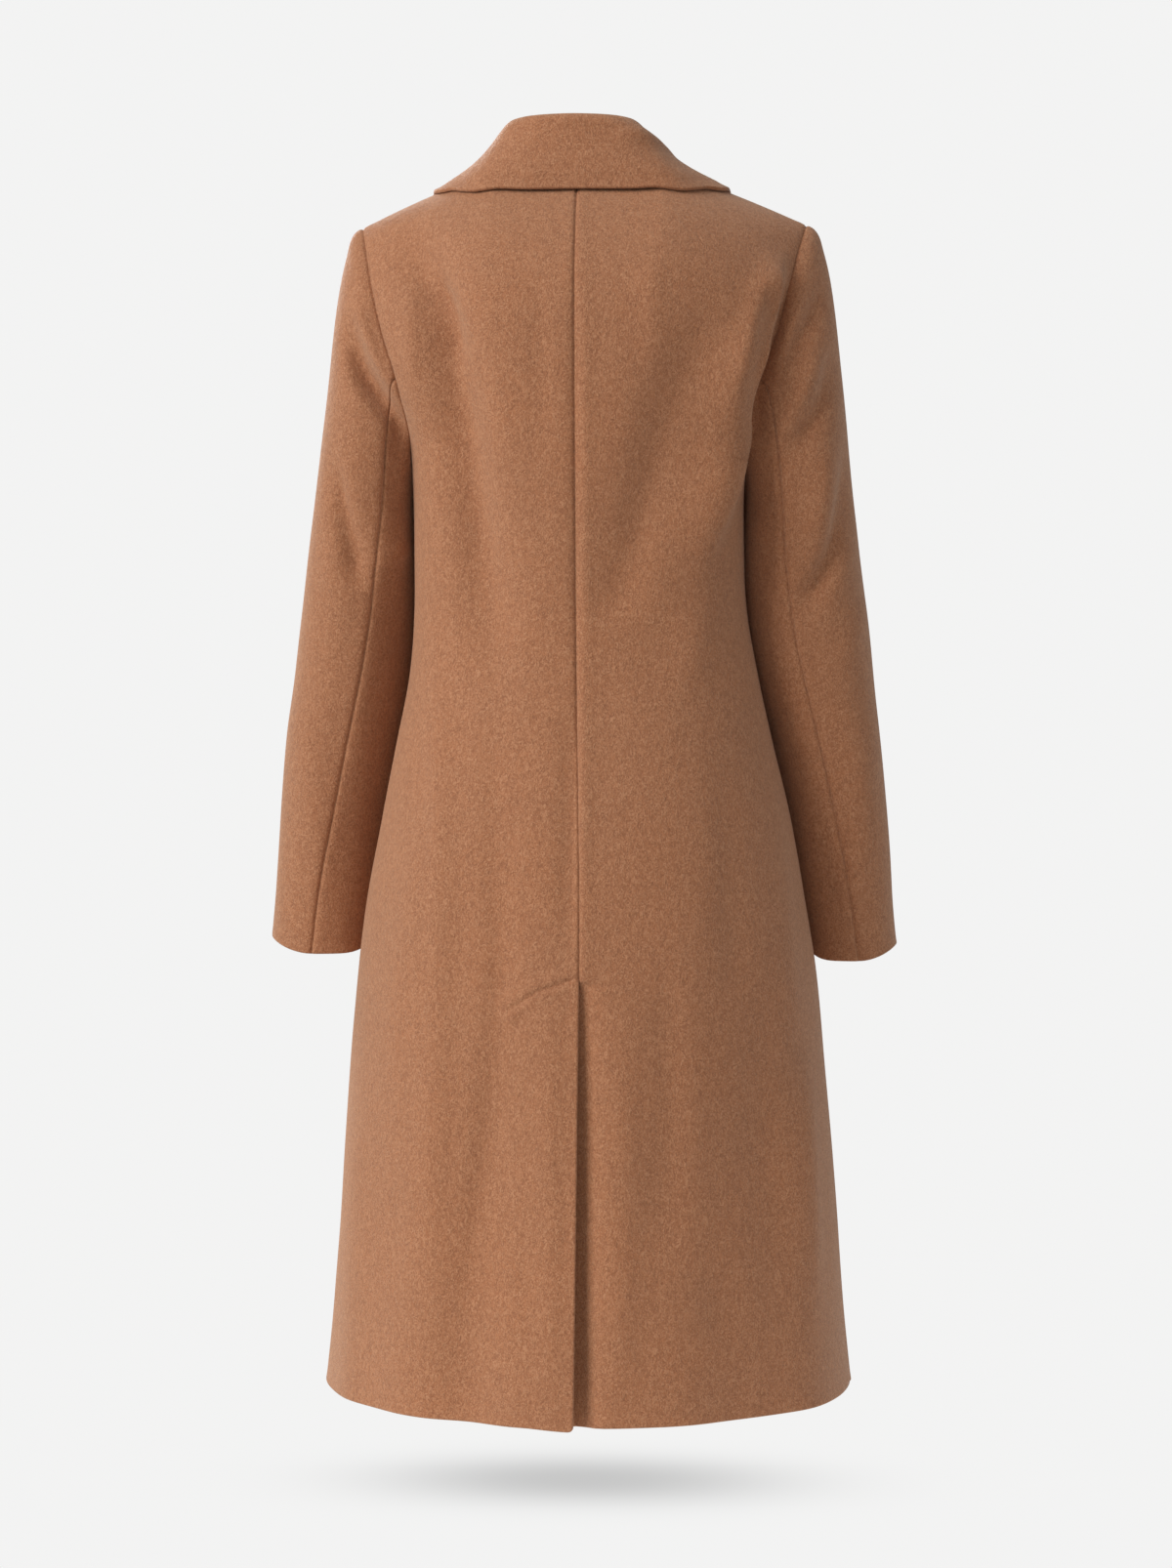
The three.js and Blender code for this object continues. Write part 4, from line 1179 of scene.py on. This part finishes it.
def back_panel(side):
    from_arm = UNDERARM_Z - VENT_TOP_Z
    fine = side > 0 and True
    cols = steps(215.0, [(0.0, 66.0, 1.6)] if fine else []) / 215.0
    around_dart = (from_arm - 4, from_arm + 34, 1.3) if fine else (from_arm - 2, from_arm + 34, 2.0)
    heights = lower_heights([around_dart])
    edges = (lap_edge, lap_layer) if side > 0 else (under_edge, under_layer)
    grid = back_grid(side, cols, heights, *edges)
    in_vent = open_share(grid, heights, VENT_TOP_Z)
    return body_piece(side, 1, grid, {"top": 1.0, "start": 1 - in_vent, "end": SIDE_SEWN}, in_vent)


def front_panel(side):
    heights = lower_heights()
    grid = front_grid(side, steps(240.0) / 240.0, heights)
    sewn = {"top": 1.0, "end": SIDE_SEWN}
    return body_piece(side, -1, grid, sewn, open_share(grid, heights, BREAK_Z))


def sleeve_piece(side, name, start, end):
    place, normal = sleeve_grid(side, start, end)
    hand = SIDES[side]
    behind, before = smooth(normal[..., 1] * 2.6), smooth(normal[..., 1] * -2.6)
    lift = creases(place, [(f"sleeve_{hand}_back", behind), (f"sleeve_{hand}_front", before)])
    away = arc(place, 0)
    head = HEAD["height"] * bell(away - HEAD["at"], HEAD["wide"]) * smooth(1.05 + place[..., 2] / 400)
    rest = smooth(away / 22.0) * smooth((away[-1:] - away) / 8.0 + 0.4)
    place = place + normal * ((lift + unevenness(place)) * rest + head)[..., None]
    place = sink(sink(place, "armholes"), "inner_arms")
    sewn = {"top": SIDE_SEWN, "start": 1.0, "end": 1.0}
    return cloth(f"coat_{name}_{hand}", place, normal, sewn, {"foot": 1.0}, 0.4)


LEAF_FREE = {"top": 1.0, "foot": 1.0, "end": 1.0}
GORGE_END = 0.72  # how far across the lapel the seam with the collar ends


def lapel_piece(side):
    place, normal = leaf_grid(lapel_control(side), side)
    in_notch = np.linspace(0, 1, place.shape[1]) > GORGE_END
    sewn = {"top": np.where(in_notch, 0.0, 0.7)}
    return cloth(f"coat_lapel_{SIDES[side]}", place, normal, sewn, LEAF_FREE, 0.5)


def collar_piece():
    """The collar's rim is pressed flat at the back, and its right half is fuller below the roll."""
    place, normal = leaf_grid(collar_control(), -1)
    across = arc(place, 1)
    away = across[:, -1:] - across
    pressed = 3.0 * bell(away, 11) * smooth((place[..., 1] + 25.0) / 40.0)
    roll = np.take_along_axis(across, place[..., 2].argmax(axis=1)[:, None], 1)
    full = 3.5 * bell(across - roll - 19, 10) * smooth((-20.0 - place[..., 0]) / 30.0)
    full = full * smooth((place[..., 1] + 75.0) / 30.0)
    place = place + normal * (full - pressed)[..., None]
    return cloth("coat_collar", place, normal, {}, LEAF_FREE, 0.7)


# ---- buttons: a raised rim, a dished middle, four holes and two bars of thread ----
BUTTON = {"radius": 14.0, "front": 2.3, "hole": 1.7, "hole_deep": 1.9, "proud": 0.35}
HOLE_AT = 3.2 * math.sqrt(0.5)  # to each side and up or down from the middle
TURN_STEPS = 72


def button_frame(x, z):
    """A button's place on the right front, and its ways across, up and out."""
    place, out = front_point(np.array(-x), np.array(z), -1)
    across = unit(np.cross((0.0, 0.0, 1.0), out))
    return place, across, np.cross(out, across), out


def button_profile(radius):
    """The height of a button's front, by the distance from its middle."""
    dish = smooth((radius - 6.0) / 4.0)
    rim = 0.7 * bell(radius - 11.6, 1.5)
    edge = 2.2 * (1 - np.sqrt(np.maximum(1 - np.clip((radius - 11.8) / 2.2, 0, 1) ** 2, 0)))
    return BUTTON["front"] + dish + rim - edge


def button_mesh(name, frame_of):
    centre, across, up, out = frame_of
    front = np.concatenate([np.arange(0.15, 5.2, 0.17), np.linspace(5.5, BUTTON["radius"], 26)])
    back = np.linspace(BUTTON["radius"], 0.15, 8)
    turn = np.arange(TURN_STEPS) * 2 * np.pi / TURN_STEPS
    radii = np.concatenate([front, back])[:, None]
    u, v = radii * np.cos(turn), radii * np.sin(turn)
    level = np.concatenate([button_profile(front), [0.8], np.zeros(len(back) - 1)])
    from_hole = np.hypot(np.abs(u) - HOLE_AT, np.abs(v) - HOLE_AT)
    holes = BUTTON["hole_deep"] * smooth((BUTTON["hole"] - from_hole) / 0.4)
    holes[len(front):] = 0.0
    height = level[:, None] - holes + BUTTON["proud"]
    points = centre + u[..., None] * across + v[..., None] * up + height[..., None] * out
    return make_mesh(name, points[::-1].reshape(-1, 3), tube_faces(len(points), TURN_STEPS))


STRAND = {"radius": 0.42, "shift": 0.45, "sides": 8, "steps": 13}


def strand(line):
    """The rings of a closed tube of thread along a short line of points."""
    way = unit(np.gradient(line, axis=0))
    first = unit(np.cross(way, (0.3, 0.9, 0.2)))
    second = np.cross(way, first)
    turn = (np.arange(STRAND["sides"]) * 2 * np.pi / STRAND["sides"])[:, None]
    ring = first[:, None] * np.cos(turn) + second[:, None] * np.sin(turn)
    return line[:, None] + STRAND["radius"] * ring


def thread_piece(name, frame_of):
    """Two pairs of strands, from hole to hole."""
    centre, across, up, out = frame_of
    t = np.linspace(0, 1, STRAND["steps"])[:, None]
    lift = BUTTON["front"] + BUTTON["proud"] - 1.4 + 2.0 * np.sin(math.pi * t) ** 0.5
    points, faces = [], []
    for row in (-1, 1):
        for shift in (-STRAND["shift"], STRAND["shift"]):
            line = centre + across * (row * HOLE_AT + shift) + up * lerp(-HOLE_AT, HOLE_AT, t) + out * lift
            past = len(points) * STRAND["steps"] * STRAND["sides"]
            points.append(strand(line).reshape(-1, 3))
            tube = tube_faces(STRAND["steps"], STRAND["sides"])
            faces += [[past + i for i in face] for face in tube]
    return make_mesh(name, np.concatenate(points), faces)


# ---- build ----
pieces = {}
for side, hand in SIDES.items():
    pieces[f"back_{hand}"] = back_panel(side)
    pieces[f"front_{hand}"] = front_panel(side)
    pieces[f"lapel_{hand}"] = lapel_piece(side)
    pieces[f"top_sleeve_{hand}"] = sleeve_piece(side, "top_sleeve", FORE_SEAM - RING, HIND_SEAM)
    pieces[f"under_sleeve_{hand}"] = sleeve_piece(side, "under_sleeve", HIND_SEAM, FORE_SEAM)
pieces["collar"] = collar_piece()
for node, piece in pieces.items():
    declare(piece, WOOL_LOOK, node)

spots = [(x, z) for z in BUTTON_ROWS for x in BUTTON_COLUMNS]
for number, spot in enumerate(spots, 1):
    frame_of = button_frame(*spot)
    body = button_mesh(f"coat_button_{number}", frame_of)
    declare(body, HORN_LOOK, f"button_{number}")
    declare(thread_piece(f"coat_button_thread_{number}", frame_of), THREAD_LOOK, None)


# ---- floor and light ----
FLOOR_Z = -1165.0
PALE = (0.896, 0.896, 0.893, 1.0)
# A shadow painted into the floor's glow under the coat: its half sizes along x and y, how steeply it fades
# and how dark its middle is.
PAINTED_SHADOW = {"x": 172.0, "y": 95.0, "power": 2.35, "depth": 0.36}
FADE = (0.6, 1.35)  # metres from the middle of the floor, from whole to clear


def make_floor():
    """A pale floor that glows evenly, with a painted soft shadow of the coat in its colour, which fades
    out to the pale studio.
    """
    turn = np.arange(96) * 2 * np.pi / 96
    ring = point(1400 * np.cos(turn), 1400 * np.sin(turn), FLOOR_Z)
    floor = make_mesh("floor", ring, [list(range(96))])
    n = Nodes(bpy.data.materials.new("floor"))

    where = n.place()
    size = (1000.0 / PAINTED_SHADOW["x"], 1000.0 / PAINTED_SHADOW["y"], 0.0)
    inside = n.add("ShaderNodeVectorMath", "Vector", {0: where, 1: size}, operation="MULTIPLY")
    out = n.add("ShaderNodeVectorMath", "Value", {0: inside}, operation="LENGTH")
    steep = n.add("ShaderNodeMath", "Value", {0: out, 1: PAINTED_SHADOW["power"]}, operation="POWER")
    soft = n.add("ShaderNodeMath", "Value", {0: math.exp(-1), 1: steep}, operation="POWER")
    # The painted shadow: the floor's glow is darkened towards its middle, not shaded by the coat.
    shade = n.spread(soft, 0.0, 1.0, 0.0, PAINTED_SHADOW["depth"])
    colour = n.mix(shade, PALE, (0.0, 0.0, 0.0, 1.0))
    glow = n.add("ShaderNodeEmission", "Emission", {"Color": colour, "Strength": 1.0})
    clear = n.add("ShaderNodeBsdfTransparent", "BSDF", {})
    up = (0.0, 0.0, -FLOOR_Z * MM)
    level = n.add("ShaderNodeVectorMath", "Vector", {0: where, 1: up}, operation="ADD")
    away = n.add("ShaderNodeVectorMath", "Value", {0: level}, operation="LENGTH")
    fade = n.spread(away, *FADE)
    both = n.add("ShaderNodeMixShader", "Shader", {0: fade, 1: glow, 2: clear})
    n.put(n.tree.nodes["Material Output"], {"Surface": both})
    n.tree.nodes.remove(n.tree.nodes["Principled BSDF"])
    floor.data.materials.append(n.owner)


AIM = (0.0, 0.0, -0.5)


def area_light(name, at, size, watts):
    light = bpy.data.lights.new(name, "AREA")
    light.size = size
    light.energy = watts
    lamp = add_object(name, light)
    lamp.location = at
    x, y, z = np.subtract(AIM, at)
    lamp.rotation_euler = (math.atan2(math.hypot(x, y), -z), 0.0, math.atan2(y, x) - math.pi / 2)


def make_world():
    """A pale studio, whose walls look brighter than the soft light that they give."""
    world = bpy.data.worlds.new("studio")
    bpy.context.scene.world = world
    n = Nodes(world)
    seen = n.add("ShaderNodeLightPath", "Is Camera Ray", {})
    tone = n.mix(seen, (0.435, 0.445, 0.455, 1.0), PALE)
    n.put(n.tree.nodes["Background"], {"Color": tone, "Strength": 1.0})


make_floor()
make_world()
area_light("key", (3.05, 2.25, 1.6), 2.4, 154.0)
area_light("front_key", (1.9, -3.3, 1.5), 1.5, 85.0)
bpy.context.scene.view_settings.view_transform = "Standard"
